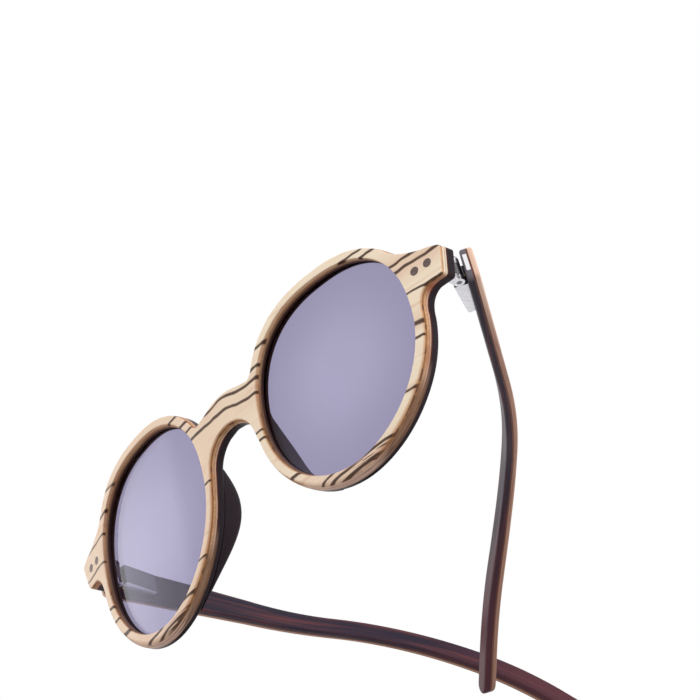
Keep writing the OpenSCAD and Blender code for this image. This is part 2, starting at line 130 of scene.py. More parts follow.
class FrontSizes(bpy.types.PropertyGroup):
    """Sizes of the laminated front, as in the solids."""

    lens_w: length("Opening width", "Width of a lens opening", 46)
    lens_top: length("Opening top", "Height of an opening above lens centre", 23.3)
    lens_bottom: length("Opening bottom", "Depth of an opening below lens centre", 24.8)
    top_square: number("Top squareness", "Power of the upper half of the oval", 2.4)
    bottom_square: number("Bottom squareness", "Power of the lower half of the oval", 1.95)
    lens_gap: length("Opening gap", "Gap between the two openings", 22.8)
    lens_t: length("Lens thickness", "Thickness of a lens", 1.1)
    groove: length("Lens groove", "Depth of the lens groove in the ebony ply", 0.85)
    lens_seat: length("Lens seat", "Reach of a lens into its groove", 0.75)
    wrap_r: length("Wrap radius", "Radius of the face curve", 310)
    nose_depth: length("Nose depth", "Distance from the foremost face point to the origin", 7)
    rim_side: length("Rim side", "Rim width beside an opening", 2.75)
    rim_top: length("Rim top", "Rim width above an opening", 2.5)
    rim_bottom: length("Rim bottom", "Rim width below an opening", 3.2)
    face_t: length("Face ply", "Thickness of the striped face ply", 0.75)
    amber_t: length("Amber ply", "Thickness of the amber ply", 0.5)
    cream_t: length("Cream ply", "Thickness of the cream ply", 0.5)
    red_t: length("Red ply", "Thickness of the red-brown ply", 0.35)
    ebony_t: length("Ebony ply", "Thickness of the ebony back ply", 1.9)
    bridge_top: length("Bridge top", "Height of the bridge above lens centre", 14.8)
    bridge_r: length("Bridge radius", "Radius of the bridge's upper edge", 15)
    arch_top: length("Arch top", "Height of the nose arch above lens centre", 6.1)
    arch_r: length("Arch radius", "Radius of the nose arch", 8.2)
    end_len: length("End block", "Length of an end block outside the rim", 8.05)
    end_bottom: length("End bottom", "Height of an end block's underside", 3.5)
    end_top: length("End top", "Height of an end block's outer top corner", 10.5)
    end_rise: length("End rise", "Rise of an end block's top towards the rim", 3.2)
    end_lean: length("End lean", "Inward lean of the end face", 1.4)
    end_fillet: length("End fillet", "Fillet between an end block and the rim", 5)
    end_round: length("End corners", "Rounding of an end block's corners", 0.8)
    edge_in: length("Edge rounding", "Inset of the face where its outer edges are rounded most", 1.5)
    inner_in: length("Inner rounding", "Inset of the face where the openings are rounded most", 0.8)
    back_round: length("Back rounding", "Rounding of the edges of the back", 0.7)
    pad_top: length("Pad top", "Height of a nose pad's upper end", 3)
    pad_len: length("Pad length", "Length of a nose pad in height", 29)
    pad_h: length("Pad height", "Greatest height of a nose pad behind the front", 5.3)


class ArmSizes(bpy.types.PropertyGroup):
    """Sizes of the arms and of their place at the hinges, as in the solids."""

    hinge_x: length("Hinge offset", "Distance of a hinge pin from the middle plane", 64.5)
    hinge_y: length("Hinge depth", "Distance of a hinge pin behind the origin", 7.9957)
    hinge_z: length("Hinge height", "Height of the middle of a hinge", 8)
    left_fold: angle("Left fold", "Inward fold of the left arm", 38.3)
    right_fold: angle("Right fold", "Inward fold of the right arm", -2)
    arm_off: length("Arm offset", "Distance of an arm's inner face outside its pin", 1.84)
    arm_ahead: length("Arm reach", "Reach of an arm's end ahead of its pin", 2.4)
    inner_t: length("Inner ply", "Thickness of the ebony inner ply", 1.4)
    veneer_t: length("Veneer", "Thickness of the red-brown veneer", 0.4)
    outer_t: length("Outer ply", "Thickness of the brown outer ply", 1.1)
    arm_len: length("Arm length", "Length of an arm along its middle line", 155.6)
    arm_h: length("Arm height", "Height of an arm at the hinge", 8.5)
    ear_h: length("Ear height", "Height of an arm past the ear bend", 5)
    arm_bottom: length("Arm underside", "Height of an arm's underside at the hinge", 3.5)
    arm_lift: length("Arm lift", "Rise of the underside over the straight length", 1.4)
    arm_straight: length("Straight length", "Straight length seen from above", 46.5)
    bow: angle("Bow", "Inward bow seen from above", 24.5)
    bow_r: length("Bow radius", "Radius of the bow at the inner face", 170)
    drop_start: length("Drop start", "Length of an arm ahead of the ear bend", 75.5)
    drop: angle("Drop", "Angle of the ear bend", 39.5)
    drop_r: length("Drop radius", "Radius of the ear bend", 100)
    edge_round: length("Edge rounding", "Rounding of the long edges", 0.6)
    corner_round: length("End corners", "Rounding of the corners of the front end", 1.1)
    rod_off: length("Rod offset", "Distance of the spring rod outside its pin", 0.85)
    spring_start: length("Spring start", "Distance of the spring's front end behind the pin", 2.8)
    spring_len: length("Spring length", "Length of the spring at rest", 5)
    coil_r: length("Coil radius", "Radius of the coil at the middle of its wire", 0.575)
    wire_r: length("Wire radius", "Radius of the spring wire", 0.11)
    coils: number("Coils", "Turns of the spring", 6)


class Finishes(bpy.types.PropertyGroup):
    """Colours of the woods, metals and lenses."""

    face: colour("Face wood", "Pale ground of the striped face", "#F2E5CE")
    face_band: colour("Face bands", "Pinkish bands of the striped face", "#D5AF9B")
    stripe: colour("Stripes", "Dark stripes of the face", "#523C30")
    edge: colour("Face edge", "Toned edge of the face", "#94633B")
    amber: colour("Amber ply", "Amber ply of the front", "#E4AE7E")
    amber_red: colour("Amber shades", "Reddish shades of the amber and cream plies", "#A65C38")
    # Painted shade: a dark tone on the walls of the lens openings, stronger low down and deeper towards the lens
    opening_shade: colour("Stain", "Dark stain of the walls of the openings", "#3C2118")
    low_edge: colour("Lower edge", "Pinkish brown of the rounded lower edges", "#DDB9A6")
    cream: colour("Cream ply", "Cream ply of the front", "#E0B79C")
    red: colour("Red-brown ply", "Red-brown ply of the front", "#5A281E")
    ebony: colour("Ebony", "Back ply and pads of the front", "#2B1F26")
    arm_ebony: colour("Arm ebony", "Inner plies of the arms", "#2C2435")
    ebony_red: colour("Ebony streaks", "Reddish streaks of the inner plies of the arms", "#66373A")
    veneer: colour("Arm veneer", "Red-brown veneer of the arms", "#7A4C3C")
    arm: colour("Arm wood", "Brown outer ply of the arms", "#C2937E")
    end_grain: colour("End grain", "Greyish end grain of the inner plies of the arms", "#7A747C")
    arm_end: colour("Arm front", "Lighter front of the outer plies of the arms", "#F0CBB4")
    # Painted shade: a dark tone on the hinge faces that look inward and on the front ends of the housings
    painted_shade: colour("Satin metal", "Ends and inner faces of the hinge housings", "#39373D")
    # The lens's own tint is grey-violet; its lighter middle is a painted highlight
    lens: colour("Lens tint", "Colour of the light through the middle of a lens", "#A8A3C0")
    lens_rim: colour("Lens rim tint", "Colour of the light through the rim of a lens", "#9893B0")
    coating: colour("Lens coating", "Colour of the light that a lens reflects", "#EAE6FF")
    hinge: colour("Hinge metal", "Nickel silver of the hinges", "#F8F7FA")
    carrier: colour("Carrier steel", "Steel of the spring carriers", "#8A878C")
    rivet: colour("Rivet metal", "Ground heads of the rivets", "#75625F")
    screw: colour("Screw metal", "Screws, nuts and springs", "#8D8B90")
    bush: colour("Bush brass", "Bush of the spring rod", "#B8975A")


def add(tree, kind, *inputs, out=0, **settings):
    """Adds one shader node with its settings, and sets or links the inputs in use in their order. None keeps a
    default, and a colour is three numbers. Gives the output of that place among those in use, or of that name."""
    made = tree.nodes.new("ShaderNode" + kind)
    for key, value in settings.items():
        setattr(made, key, value)
    for socket, value in zip([s for s in made.inputs if s.enabled], inputs):
        if isinstance(value, bpy.types.NodeSocket):
            tree.links.new(value, socket)
        elif value is not None:
            socket.default_value = (*value, 1) if socket.type == "RGBA" else value
    return made.outputs[out] if isinstance(out, str) else [s for s in made.outputs if s.enabled][out]


def grain(tree, source, sizes, detail=4.0, rough=0.55):
    """Noise whose features have the given sizes in millimetres along the three axes of the source."""
    scaled = add(tree, "Mapping", source, None, None, [1 / (s * MM) for s in sizes])
    return add(tree, "TexNoise", scaled, 1.0, detail, rough)


def material(name):
    """New material with a Principled shader, its node tree, and its Object coordinates."""
    made = bpy.data.materials.new(name)
    made.use_nodes = True
    tree = made.node_tree
    return made, tree, tree.nodes["Principled BSDF"], add(tree, "TexCoord", out="Object")


def surface(tree, shader, toned, fine, rough, strength, height):
    """Links the colour, and lets a fine pattern vary the roughness between two values and raise a bump."""
    tree.links.new(toned, shader.inputs["Base Color"])
    tree.links.new(add(tree, "MapRange", fine, 0.3, 0.7, *rough, **SMOOTH), shader.inputs["Roughness"])
    tree.links.new(add(tree, "Bump", strength, height, None, fine), shader.inputs["Normal"])


# Heights in millimetres, half widths, depths and pinkness of the stripes, in four fields across the face
STRIPES = {
    "right end": (
        (21, .6, .6, .2), (16.4, .6, .8, .3), (12, .5, .7, .2), (5.4, .5, .7, .3), (-7.7, .6, .9, .3),
        (-11.7, .5, .8, .2), (-17.2, .9, .9, .5), (-25, .5, 1, .3), (-26.9, .45, .9, .8), (-28, .4, .8, 1),
    ),
    "right nose": (
        (20, .55, .9, .3), (16.1, .65, 1, .5), (13.4, .5, .9, .7), (10.5, .65, 1, .6), (-2.8, .45, .9, .1),
        (-14, .3, .3, .1), (-18.7, .5, .9, .2), (-24.1, .5, 1, .4), (-26.6, .45, 1, 1), (-27.6, .35, .9, 1),
    ),
    "left nose": (
        (20.1, .6, 1, .3), (15.8, .6, 1, .4), (13.5, .6, 1, .7), (10.2, .6, 1, .8), (.4, .5, .9, .3),
        (-1.9, .55, .9, .3), (-16.5, .55, 1, .2), (-23.8, .5, .9, .2), (-25.5, .5, 1, .4), (-27, .45, 1, 1),
    ),
    "left end": (
        (22.2, .5, .7, .1), (20.1, .55, .9, .1), (12.5, .6, .9, .9), (10.3, .6, 1, 1), (3.6, .45, .9, 0),
        (-3.8, .8, .9, .8), (-6.9, .5, .9, .2), (-17.6, .6, .9, .1), (-25, .5, 1, .5), (-26.8, .45, 1, 1),
    ),
}
# Heights in millimetres between which the stripes are set out
STRIPES_LOW, STRIPES_HIGH = -30, 28
# Heights between which the lower rims begin, where the stripes run straighter
CALM = -22 * MM, -17 * MM
# How far the stripes wander up and down, and how far they droop beside the nose
WANDER, DROOP = 2.8 * MM, 2.1 * MM
# Half the width over which one field of stripes passes into the next
FIELD_BLEND = 5 * MM
# Heights between which the painted shade on the walls of the openings lessens upwards
OPENING_RISE = -4 * MM, 12 * MM


def stripe_field(tree, height, lines):
    """Depth and pinkness of the stripes of one field: a ramp over the height with a peak at each line."""
    ramp = add(tree, "ValToRGB", add(tree, "MapRange", height, STRIPES_LOW * MM, STRIPES_HIGH * MM))
    stops = ramp.node.color_ramp.elements
    peaks = sorted((h + side * w, 0 if side else d, p) for h, w, d, p in lines for side in (-1, 0, 1))
    for at, depth, pink in peaks:
        stops.new((at - STRIPES_LOW) / (STRIPES_HIGH - STRIPES_LOW)).color = (depth, pink, 0, 1)
    stops.remove(stops[-1])
    stops.remove(stops[0])
    return ramp


def ply_depth(tree, place):
    """Depth behind the curved face: the wrap radius less the distance from the axis of the wrap."""
    f = bpy.context.scene.glasses_front
    flat = add(tree, "Mapping", place, (0, f.nose_depth - f.wrap_r, 0), None, (1, 1, 0))
    return add(tree, "Math", f.wrap_r, add(tree, "VectorMath", flat, operation="LENGTH"), **LESS)


def lens_distance(tree, place):
    """Distance from the middle of the nearer lens, seen from the front."""
    x, _, z = add(tree, "SeparateXYZ", place, out=EVERY)
    away = add(tree, "Math", x, operation="ABSOLUTE")
    aside = add(tree, "Math", away, lens_x(bpy.context.scene.glasses_front), **LESS)
    return add(tree, "VectorMath", add(tree, "CombineXYZ", aside, None, z), operation="LENGTH")


def past_middle(tree, x):
    """Distance towards +X from the middle of the lens on the same side of the nose."""
    side = add(tree, "Math", x, operation="SIGN")
    middle = add(tree, "Math", side, lens_x(bpy.context.scene.glasses_front), **TIMES)
    return add(tree, "Math", x, middle, **LESS)


def low_edges(tree, place):
    """Where the rounded lower edges cut the grain at a low angle: the share of the bottom of the rims, the share
    of their +X side, where streaks show, and the distance below the openings, from which the streaks start."""
    x, _, z = add(tree, "SeparateXYZ", place, out=EVERY)
    aside = past_middle(tree, x)
    bottom = add(tree, "Math", add(tree, "MapRange", z, -24 * MM, -17 * MM, 1.0, 0.0, **SMOOTH),
                 add(tree, "MapRange", aside, 2 * MM, 10 * MM, 1.0, 0.1, **SMOOTH), **TIMES)
    streaked = add(tree, "Math", add(tree, "MapRange", aside, -5 * MM, 5 * MM, **SMOOTH),
                   add(tree, "MapRange", z, -20 * MM, -12 * MM, 1.0, 0.0, **SMOOTH), **TIMES)
    below = add(tree, "Math", -bpy.context.scene.glasses_front.lens_bottom, z, **LESS)
    return bottom, streaked, below


def edge_lines(tree, place, across, width):
    """Thin grain lines along the edge: the contours of a noise, drawn out along the rim, from a distance across
    the lines and their spacing in millimetres."""
    x, _, z = add(tree, "SeparateXYZ", place, out=EVERY)
    drawn = grain(tree, add(tree, "CombineXYZ", x, across, z), (16, width, 16), 1.0)
    levels = add(tree, "Math", drawn, 5.0, **TIMES)
    contour = add(tree, "Math", levels, 0.5, operation="PINGPONG")
    return add(tree, "MapRange", contour, 0.06, 0.24, 1.0, 0.0, **SMOOTH)


def stripes(tree, place):
    """Depth and pinkness of the dark stripes across the face: the four fields, each at a height that wanders with
    a noise, droops beside the nose and tilts along the lower rims."""
    x, _, z = add(tree, "SeparateXYZ", place, out=EVERY)
    wave = add(tree, "Math", grain(tree, place, (11, 60, 20), 2.5), 0.5, **LESS)
    wander = add(tree, "Math", add(tree, "Math", wave, WANDER, **TIMES),
                 add(tree, "MapRange", z, *CALM, 0.4, 1.0, **SMOOTH), **TIMES)
    droop = add(tree, "Math", add(tree, "MapRange", x, 1 * MM, 9 * MM, 0.0, DROOP, **SMOOTH),
                add(tree, "MapRange", x, 14 * MM, 30 * MM, 0.0, DROOP, **SMOOTH), **LESS)
    tilt = add(tree, "Math", past_middle(tree, x), add(tree, "MapRange", z, *CALM, -0.04, 0.0, **SMOOTH), **TIMES)
    height = z
    for bend in (wander, droop, tilt):
        height = add(tree, "Math", height, bend, operation="ADD")
    marks, *others = [stripe_field(tree, height, lines) for lines in STRIPES.values()]
    middle = lens_x(bpy.context.scene.glasses_front)
    for edge, field in zip((-middle, 0, middle), others):
        share = add(tree, "MapRange", x, edge - FIELD_BLEND, edge + FIELD_BLEND, **SMOOTH)
        marks = add(tree, "Mix", share, marks, field, **COLOURS)
    return add(tree, "SeparateColor", marks, out=EVERY)[:2]


def striped_wood(name, tones):
    """Striped wood of the face: a pale ground with pinkish bands and fine grain, dark wavy stripes, grain lines
    on the lower edges, and edges that turn to honey and brown behind the face. The brown is partly the edge's own
    tone and partly painted light and shade: less of it at the end faces, as painted light, and none high in the
    openings, so that it is painted shade on their lower walls."""
    made, tree, shader, place = material(name)
    x, _, z = add(tree, "SeparateXYZ", place, out=EVERY)
    depth, pink = stripes(tree, place)
    fine = grain(tree, place, (9, 1.2, 0.28), 5.0, 0.6)
    band = grain(tree, place, (45, 8, 1.9), 3.0)
    swell = grain(tree, place, (5, 8, 1.6), 2.0)
    pink = add(tree, "Math", pink, 0.65, **TIMES)
    for more in (add(tree, "MapRange", band, 0.48, 0.72, 0.0, 0.8, **SMOOTH),
                 add(tree, "MapRange", x, -10 * MM, 25 * MM, 0.55, 0.2, **SMOOTH)):
        pink = add(tree, "Math", pink, more, **LARGER)
    ground = add(tree, "Mix", pink, tones.face, tones.face_band, **COLOURS)
    bottom, streaked, below = low_edges(tree, place)
    low = add(tree, "Math", streaked, add(tree, "MapRange", below, 0.0, 1.2 * MM, **SMOOTH), **TIMES)
    warm = add(tree, "Math", add(tree, "Math", low, 0.8, **TIMES),
               add(tree, "Math", bottom, 0.45, **TIMES), **LARGER)
    ground = add(tree, "Mix", warm, ground, tones.low_edge, **COLOURS)
    pale = add(tree, "MapRange", fine, 0.3, 0.7, **SMOOTH)
    fibre = add(tree, "Mix", pale, tones.face_band, tones.face, **COLOURS)
    ground = add(tree, "Mix", 0.4, ground, fibre, blend_type="SOFT_LIGHT", **COLOURS)
    swollen = add(tree, "Math", depth, add(tree, "MapRange", swell, 0.3, 0.65, 0.8, 1.2, **SMOOTH), **TIMES)
    lines = add(tree, "Math", low, edge_lines(tree, place, below, 0.9), **TIMES)
    broken = add(tree, "Math", add(tree, "Math", swollen, lines, **LARGER),
                 add(tree, "MapRange", fine, 0.2, 0.5, 0.7, 1.0, **SMOOTH), **TIMES)
    dark = add(tree, "MapRange", broken, 0.06, 0.6, **SMOOTH)
    toned = add(tree, "Mix", dark, ground, tones.stripe, **COLOURS)
    behind = ply_depth(tree, place)
    clean = add(tree, "MapRange", bottom, 0.0, 1.0, 1.0, 0.2, **SMOOTH)
    honey = add(tree, "MapRange", behind, 0.02 * MM, 0.2 * MM, 0.0, 0.65, **SMOOTH)
    toned = add(tree, "Mix", add(tree, "Math", clean, honey, **TIMES), toned, tones.amber,
                blend_type="MULTIPLY", **COLOURS)
    # Painted light and shade: the brown edge lessens at the end faces and fades out high in the openings, so that
    # it shades their lower walls most
    wall = add(tree, "MapRange", lens_distance(tree, place), 25 * MM, 25.8 * MM, 1.0, 0.0, **SMOOTH)
    opening = add(tree, "Math", wall, add(tree, "MapRange", z, *OPENING_RISE, **SMOOTH), **TIMES)
    aside = add(tree, "Math", x, operation="ABSOLUTE")
    edge = clean
    for share in (add(tree, "MapRange", behind, 0.25 * MM, 0.5 * MM, 0.0, 0.9, **SMOOTH),
                  add(tree, "MapRange", aside, 64 * MM, 67 * MM, 1.0, 0.35, **SMOOTH),
                  add(tree, "Math", 1.0, opening, **LESS)):
        edge = add(tree, "Math", edge, share, **TIMES)
    toned = add(tree, "Mix", edge, toned, tones.edge, **COLOURS)
    spots = grain(tree, place, (2.5, 2.5, 2.5), 2.0)
    flecks = add(tree, "Math", edge, add(tree, "MapRange", spots, 0.48, 0.6, 0.0, 0.8, **SMOOTH), **TIMES)
    toned = add(tree, "Mix", flecks, toned, tones.stripe, **COLOURS)
    surface(tree, shader, toned, fine, (0.55, 0.45), 0.25, 0.03 * MM)
    shader.inputs["Specular IOR Level"].default_value = 0.25
    return made


def ply_edges(tree, place, toned, shade, pale):
    """Tone of a ply of the front, which shows at its edges only: broad patches of a shade that also fills the
    fillets of the end blocks, end faces made paler as painted light, pinkish brown lower edges with grain lines,
    brown with dark lines on their +X side as painted shade, and lens openings darkened with painted shade, most
    low down and deep towards the lens."""
    tones = bpy.context.scene.glasses_tones
    x, _, z = add(tree, "SeparateXYZ", place, out=EVERY)
    aside = add(tree, "Math", x, operation="ABSOLUTE")
    depth = ply_depth(tree, place)
    patch = add(tree, "MapRange", grain(tree, place, (14, 14, 9), 2.0), 0.45, 0.7, 0.0, 0.5, **SMOOTH)
    fillet = add(tree, "Math", add(tree, "MapRange", aside, 60.5 * MM, 62.5 * MM, **SMOOTH),
                 add(tree, "MapRange", z, 3 * MM, 4 * MM, 0.9, 0.0, **SMOOTH), **TIMES)
    toned = add(tree, "Mix", add(tree, "Math", patch, fillet, **LARGER), toned, shade, **COLOURS)
    # Painted light: the end faces of the ply are made paler, towards the face's colour
    lit_end_face = add(tree, "Math", add(tree, "MapRange", aside, 65.5 * MM, 66.5 * MM, 0.0, pale, **SMOOTH),
                   add(tree, "MapRange", z, 3.4 * MM, 4 * MM, **SMOOTH), **TIMES)
    toned = add(tree, "Mix", lit_end_face, toned, tones.face, **COLOURS)
    bottom, streaked, _ = low_edges(tree, place)
    low = add(tree, "Math", add(tree, "Math", bottom, streaked, **LARGER),
              add(tree, "MapRange", depth, 2.1 * MM, 2.9 * MM, 0.85, 0.0, **SMOOTH), **TIMES)
    # Painted shade: on the +X side of the lower rims the ply edges turn brown, with dark lines
    brown = add(tree, "Math", add(tree, "Math", streaked, bottom, **LESS), 0.85, **TIMES)
    lines = add(tree, "Math", add(tree, "MapRange", streaked, 0.0, 1.0, 0.25, 0.8, **SMOOTH),
                edge_lines(tree, place, depth, 0.7), **TIMES)
    lines = add(tree, "Math", lines, add(tree, "Math", brown, 0.5, **TIMES), **LARGER)
    low_edge_and_shade = add(tree, "Mix", brown, tones.low_edge, tones.edge, **COLOURS)
    toned = add(tree, "Mix", low, toned, add(tree, "Mix", lines, low_edge_and_shade, tones.stripe, **COLOURS), **COLOURS)
    # Painted shade on the walls of the openings: stronger low down and deeper towards the lens
    dark = add(tree, "Math", add(tree, "MapRange", z, *OPENING_RISE, 0.7, 0.25, **SMOOTH),
               add(tree, "MapRange", depth, 0.95 * MM, 1.5 * MM, 0.0, 0.95, **SMOOTH), **LARGER)
    wall = add(tree, "MapRange", lens_distance(tree, place), 24.8 * MM, 25.3 * MM, 1.0, 0.0, **SMOOTH)
    return add(tree, "Mix", add(tree, "Math", wall, dark, **TIMES), toned, tones.opening_shade, **COLOURS)


def plain_wood(name, light, dark_share, sizes, roughness, flow=None, streak=None, seam=None, gloss=0.25, end=None,
               shade=None, pale=0.0):
    """Straight-grained wood: its colour darkens in fine lines and in long bands along the grain. It may have
    streaks of another colour (colour, range of the noise, share), which on an arm close up towards the tip, a
    tone that fades from the front end of an arm (colour, range in mm, share), a dark glue seam at a depth in mm
    behind the face, and the edges of a ply of the front with painted light and shade (shade, share of painted
    light that makes the end faces paler)."""
    made, tree, shader, place = material(name)
    source = add(tree, "UVMap", uv_map=flow) if flow else place
    along = add(tree, "SeparateXYZ", source)
    fine = grain(tree, source, sizes, 5.0, 0.6)
    bands = grain(tree, source, [4 * s for s in sizes], 3.0)
    pores = add(tree, "MapRange", fine, 0.3, 0.72, **SMOOTH)
    toned = add(tree, "Mix", pores, [c * dark_share for c in light], light, **COLOURS)
    if streak:
        streak_tone, low, high, share = streak
        lines = grain(tree, source, [3 * sizes[0]] + [2.5 * s for s in sizes[1:]], 2.5)
        strength = add(tree, "MapRange", lines, low, high, 0.0, share, **SMOOTH)
        if flow:
            tail = add(tree, "MapRange", along, 95 * MM, 145 * MM, 0.0, 0.75 * share, **SMOOTH)
            strength = add(tree, "Math", strength, tail, **LARGER)
        toned = add(tree, "Mix", strength, toned, streak_tone, **COLOURS)
    band = add(tree, "MapRange", bands, 0.35, 0.7, 0.0, 0.4, **SMOOTH)
    toned = add(tree, "Mix", band, toned, [c * (0.4 + 0.6 * dark_share) for c in light], **COLOURS)
    if end:
        end_tone, start, stop, share = end
        front = add(tree, "MapRange", along, start * MM, stop * MM, share, 0.0, **SMOOTH)
        toned = add(tree, "Mix", front, toned, end_tone, **COLOURS)
    # Edges of a ply of the front, with painted light on the end faces and painted shade on the lower edges and in
    # the openings
    if shade:
        toned = ply_edges(tree, place, toned, shade, pale)
    if seam:
        from_seam = add(tree, "Math", ply_depth(tree, place), seam * MM, **LESS)
        away = add(tree, "Math", from_seam, operation="ABSOLUTE")
        line = add(tree, "MapRange", away, 0.06 * MM, 0.16 * MM, 0.7, 0.0, **SMOOTH)
        toned = add(tree, "Mix", line, toned, [c * 0.3 for c in light], **COLOURS)
    surface(tree, shader, toned, fine, (roughness + 0.08, roughness - 0.06), 0.25, 0.03 * MM)
    shader.inputs["Specular IOR Level"].default_value = gloss
    return made


def tinted_plastic(name, tones):
    """Clear plastic whose tint is lighter in the middle of a lens, as a painted highlight, and deepens to its
    rim. Its IOR lies below the usual 1.59, so that it reflects as little as a coated lens."""
    made, tree, shader, place = material(name)
    # Painted highlight: the tint is lighter in the middle of a lens
    painted_highlight_fade = add(tree, "MapRange", lens_distance(tree, place), 4 * MM, 24 * MM, **SMOOTH)
    tint = add(tree, "Mix", painted_highlight_fade, tones.lens, tones.lens_rim, **COLOURS)
    tree.links.new(tint, shader.inputs["Base Color"])
    shader.inputs["Roughness"].default_value = 0.0
    shader.inputs["IOR"].default_value = 1.245
    shader.inputs["Specular Tint"].default_value = (*tones.coating, 1.0)
    shader.inputs["Transmission Weight"].default_value = 1.0
    return made


def brushed_metal(name, tone, sizes, roughness, dark_share, metal=1.0, painted_shade=None):
    """Metal with fine brush lines that vary its tone and gloss. Faces may be marked for painted shade, a dark
    tone.
    """
    made, tree, shader, place = material(name)
    lines = grain(tree, place, sizes, 4.0, 0.6)
    bright = add(tree, "MapRange", lines, 0.3, 0.7, **SMOOTH)
    toned = add(tree, "Mix", bright, [c * dark_share for c in tone], tone, **COLOURS)
    # Painted shade: marked faces take a dark tone
    if painted_shade:
        marked = add(tree, "Attribute", attribute_name="painted_shade", out="Fac")
        toned = add(tree, "Mix", marked, toned, painted_shade, **COLOURS)
    surface(tree, shader, toned, lines, (roughness + 0.1, roughness - 0.06), 0.15, 0.01 * MM)
    shader.inputs["Metallic"].default_value = metal
    return made


def make_finishes(tones):
    """All materials of the sunglasses, by name. The sizes of grain and brush lines are in millimetres."""
    made = (
        # Zebrano veneer, sanded and lacquered: pale and satin, with dark wavy stripes
        striped_wood("zebrano", tones),
        # Cherry, sawn at its edge: honey brown with darker streaks and reddish patches
        plain_wood("cherry", tones.amber, dark_share=0.6, sizes=(7, 0.5, 0.5), roughness=0.5,
                   streak=(tones.edge, 0.58, 0.7, 0.6), shade=tones.amber_red, pale=0.75),
        # Beech, sawn at its edge: even cream, with a dark line where it is glued
        plain_wood("beech", tones.cream, dark_share=0.75, sizes=(7, 0.4, 0.4), roughness=0.5, seam=1.28,
                   shade=tones.amber_red, pale=0.6),
        # Rosewood, sawn at its edge: a thin line of dark red-brown
        plain_wood("rosewood", tones.red, dark_share=0.6, sizes=(7, 0.4, 0.4), roughness=0.5, gloss=0.15,
                   shade=tones.red),
        # Ebony, lacquered: nearly black, with a faint sheen that shows its fine grain
        plain_wood("ebony", tones.ebony, dark_share=0.6, sizes=(8, 0.35, 0.35), roughness=0.42, gloss=0.12,
                   shade=tones.ebony),
        # Streaked ebony, lacquered: nearly black, with long reddish streaks and greyish end grain
        plain_wood("streaked_ebony", tones.arm_ebony, dark_share=0.75, sizes=(14, 0.5, FLAT), roughness=0.4,
                   flow=ALONG, gloss=0.15, streak=(tones.ebony_red, 0.4, 0.75, 1.0),
                   end=(tones.end_grain, 0.2, 1.6, 0.8)),
        # Rosewood veneer: a thin red-brown line between the plies of an arm
        plain_wood("rosewood_veneer", tones.veneer, dark_share=0.6, sizes=(9, 0.4, FLAT), roughness=0.5,
                   flow=ALONG),
        # Pearwood, lacquered: pinkish brown with thin dark streaks, lighter towards the hinge
        plain_wood("pearwood", tones.arm, dark_share=0.75, sizes=(10, 0.45, FLAT), roughness=0.5, flow=ALONG,
                   streak=(tones.stripe, 0.6, 0.7, 0.6), end=(tones.arm_end, 4, 30, 0.8)),
        # Tinted polycarbonate, moulded and polished: clear grey-violet, lighter in the middle as a painted
        # highlight, with a faint bluish reflection
        tinted_plastic("tinted_polycarbonate", tones),
        # Nickel silver, brushed: bright and nearly white, with painted shade, a dark tone, on the faces that look
        # inward or ahead behind the pin
        brushed_metal("nickel_silver", tones.hinge, sizes=(0.15, 2, 0.15), roughness=0.3, dark_share=0.88,
                      painted_shade=tones.painted_shade),
        # Spring steel, brushed: grey, with a soft shine
        brushed_metal("spring_steel", tones.carrier, sizes=(0.15, 1, 0.15), roughness=0.35, dark_share=0.7),
        # Ground steel: dull brownish grey from the dust of the wood, so only partly metallic
        brushed_metal("ground_steel", tones.rivet, sizes=(0.35, 2, 0.35), roughness=0.48, dark_share=0.55,
                      metal=0.6),
        # Bright steel, turned or drawn: mid grey, with fine lines
        brushed_metal("bright_steel", tones.screw, sizes=(0.1, 0.1, 0.5), roughness=0.32, dark_share=0.75),
        # Turned brass: dull yellow
        brushed_metal("turned_brass", tones.bush, sizes=(0.1, 0.6, 0.1), roughness=0.3, dark_share=0.8),
    )
    return {each.name: each for each in made}


def finish_of(name):
    """Material by its name. The first call takes the solids' plain colours away and makes all finishes."""
    if not FINISHES:
        for plain in list(bpy.data.materials):
            bpy.data.materials.remove(plain)
        FINISHES.update(make_finishes(bpy.context.scene.glasses_tones))
    return FINISHES[name]


def quads(grids):
    """Points and four-sided faces of several grids: each row of points joins the next, and a wrapped grid joins
    its last column to its first."""
    points, faces, start = [], [], 0
    for grid, wrapped in grids:
        rows, cols = grid.shape[:2]
        index = start + np.arange(rows * cols).reshape(rows, cols)
        if wrapped:
            index = np.concatenate([index, index[:, :1]], 1)
        corners = index[:-1, :-1], index[1:, :-1], index[1:, 1:], index[:-1, 1:]
        faces.append(np.stack(corners, -1).reshape(-1, 4))
        points.append(grid.reshape(-1, grid.shape[-1]))
        start += rows * cols
    return np.concatenate(points), np.concatenate(faces)


def solid(name, points, faces, flow=None, sharp=SHARP):
    """Closed mesh object from points and faces: doubles merged, faces outwards, smooth but for sharp edges. The
    flow gives each point its place along and across the grain."""
    mesh = bpy.data.meshes.new(name)
    mesh.from_pydata(points.tolist(), [], faces.tolist())
    if flow is not None:
        layer = mesh.uv_layers.new(name=ALONG)
        layer.data.foreach_set("uv", flow[faces.ravel()].astype(np.float32).ravel())
    work = bmesh.new()
    work.from_mesh(mesh)
    bmesh.ops.remove_doubles(work, verts=work.verts, dist=MERGE)
    bmesh.ops.dissolve_degenerate(work, edges=work.edges, dist=MERGE / 4)
    bmesh.ops.recalc_face_normals(work, faces=work.faces)
    if work.calc_volume(signed=True) < 0:
        bmesh.ops.reverse_faces(work, faces=work.faces)
    work.to_mesh(mesh)
    work.free()
    mesh.shade_smooth()
    mesh.set_sharp_from_angle(angle=math.radians(sharp))
    made = bpy.data.objects.new(name, mesh)
    bpy.context.scene.collection.objects.link(made)
    return made


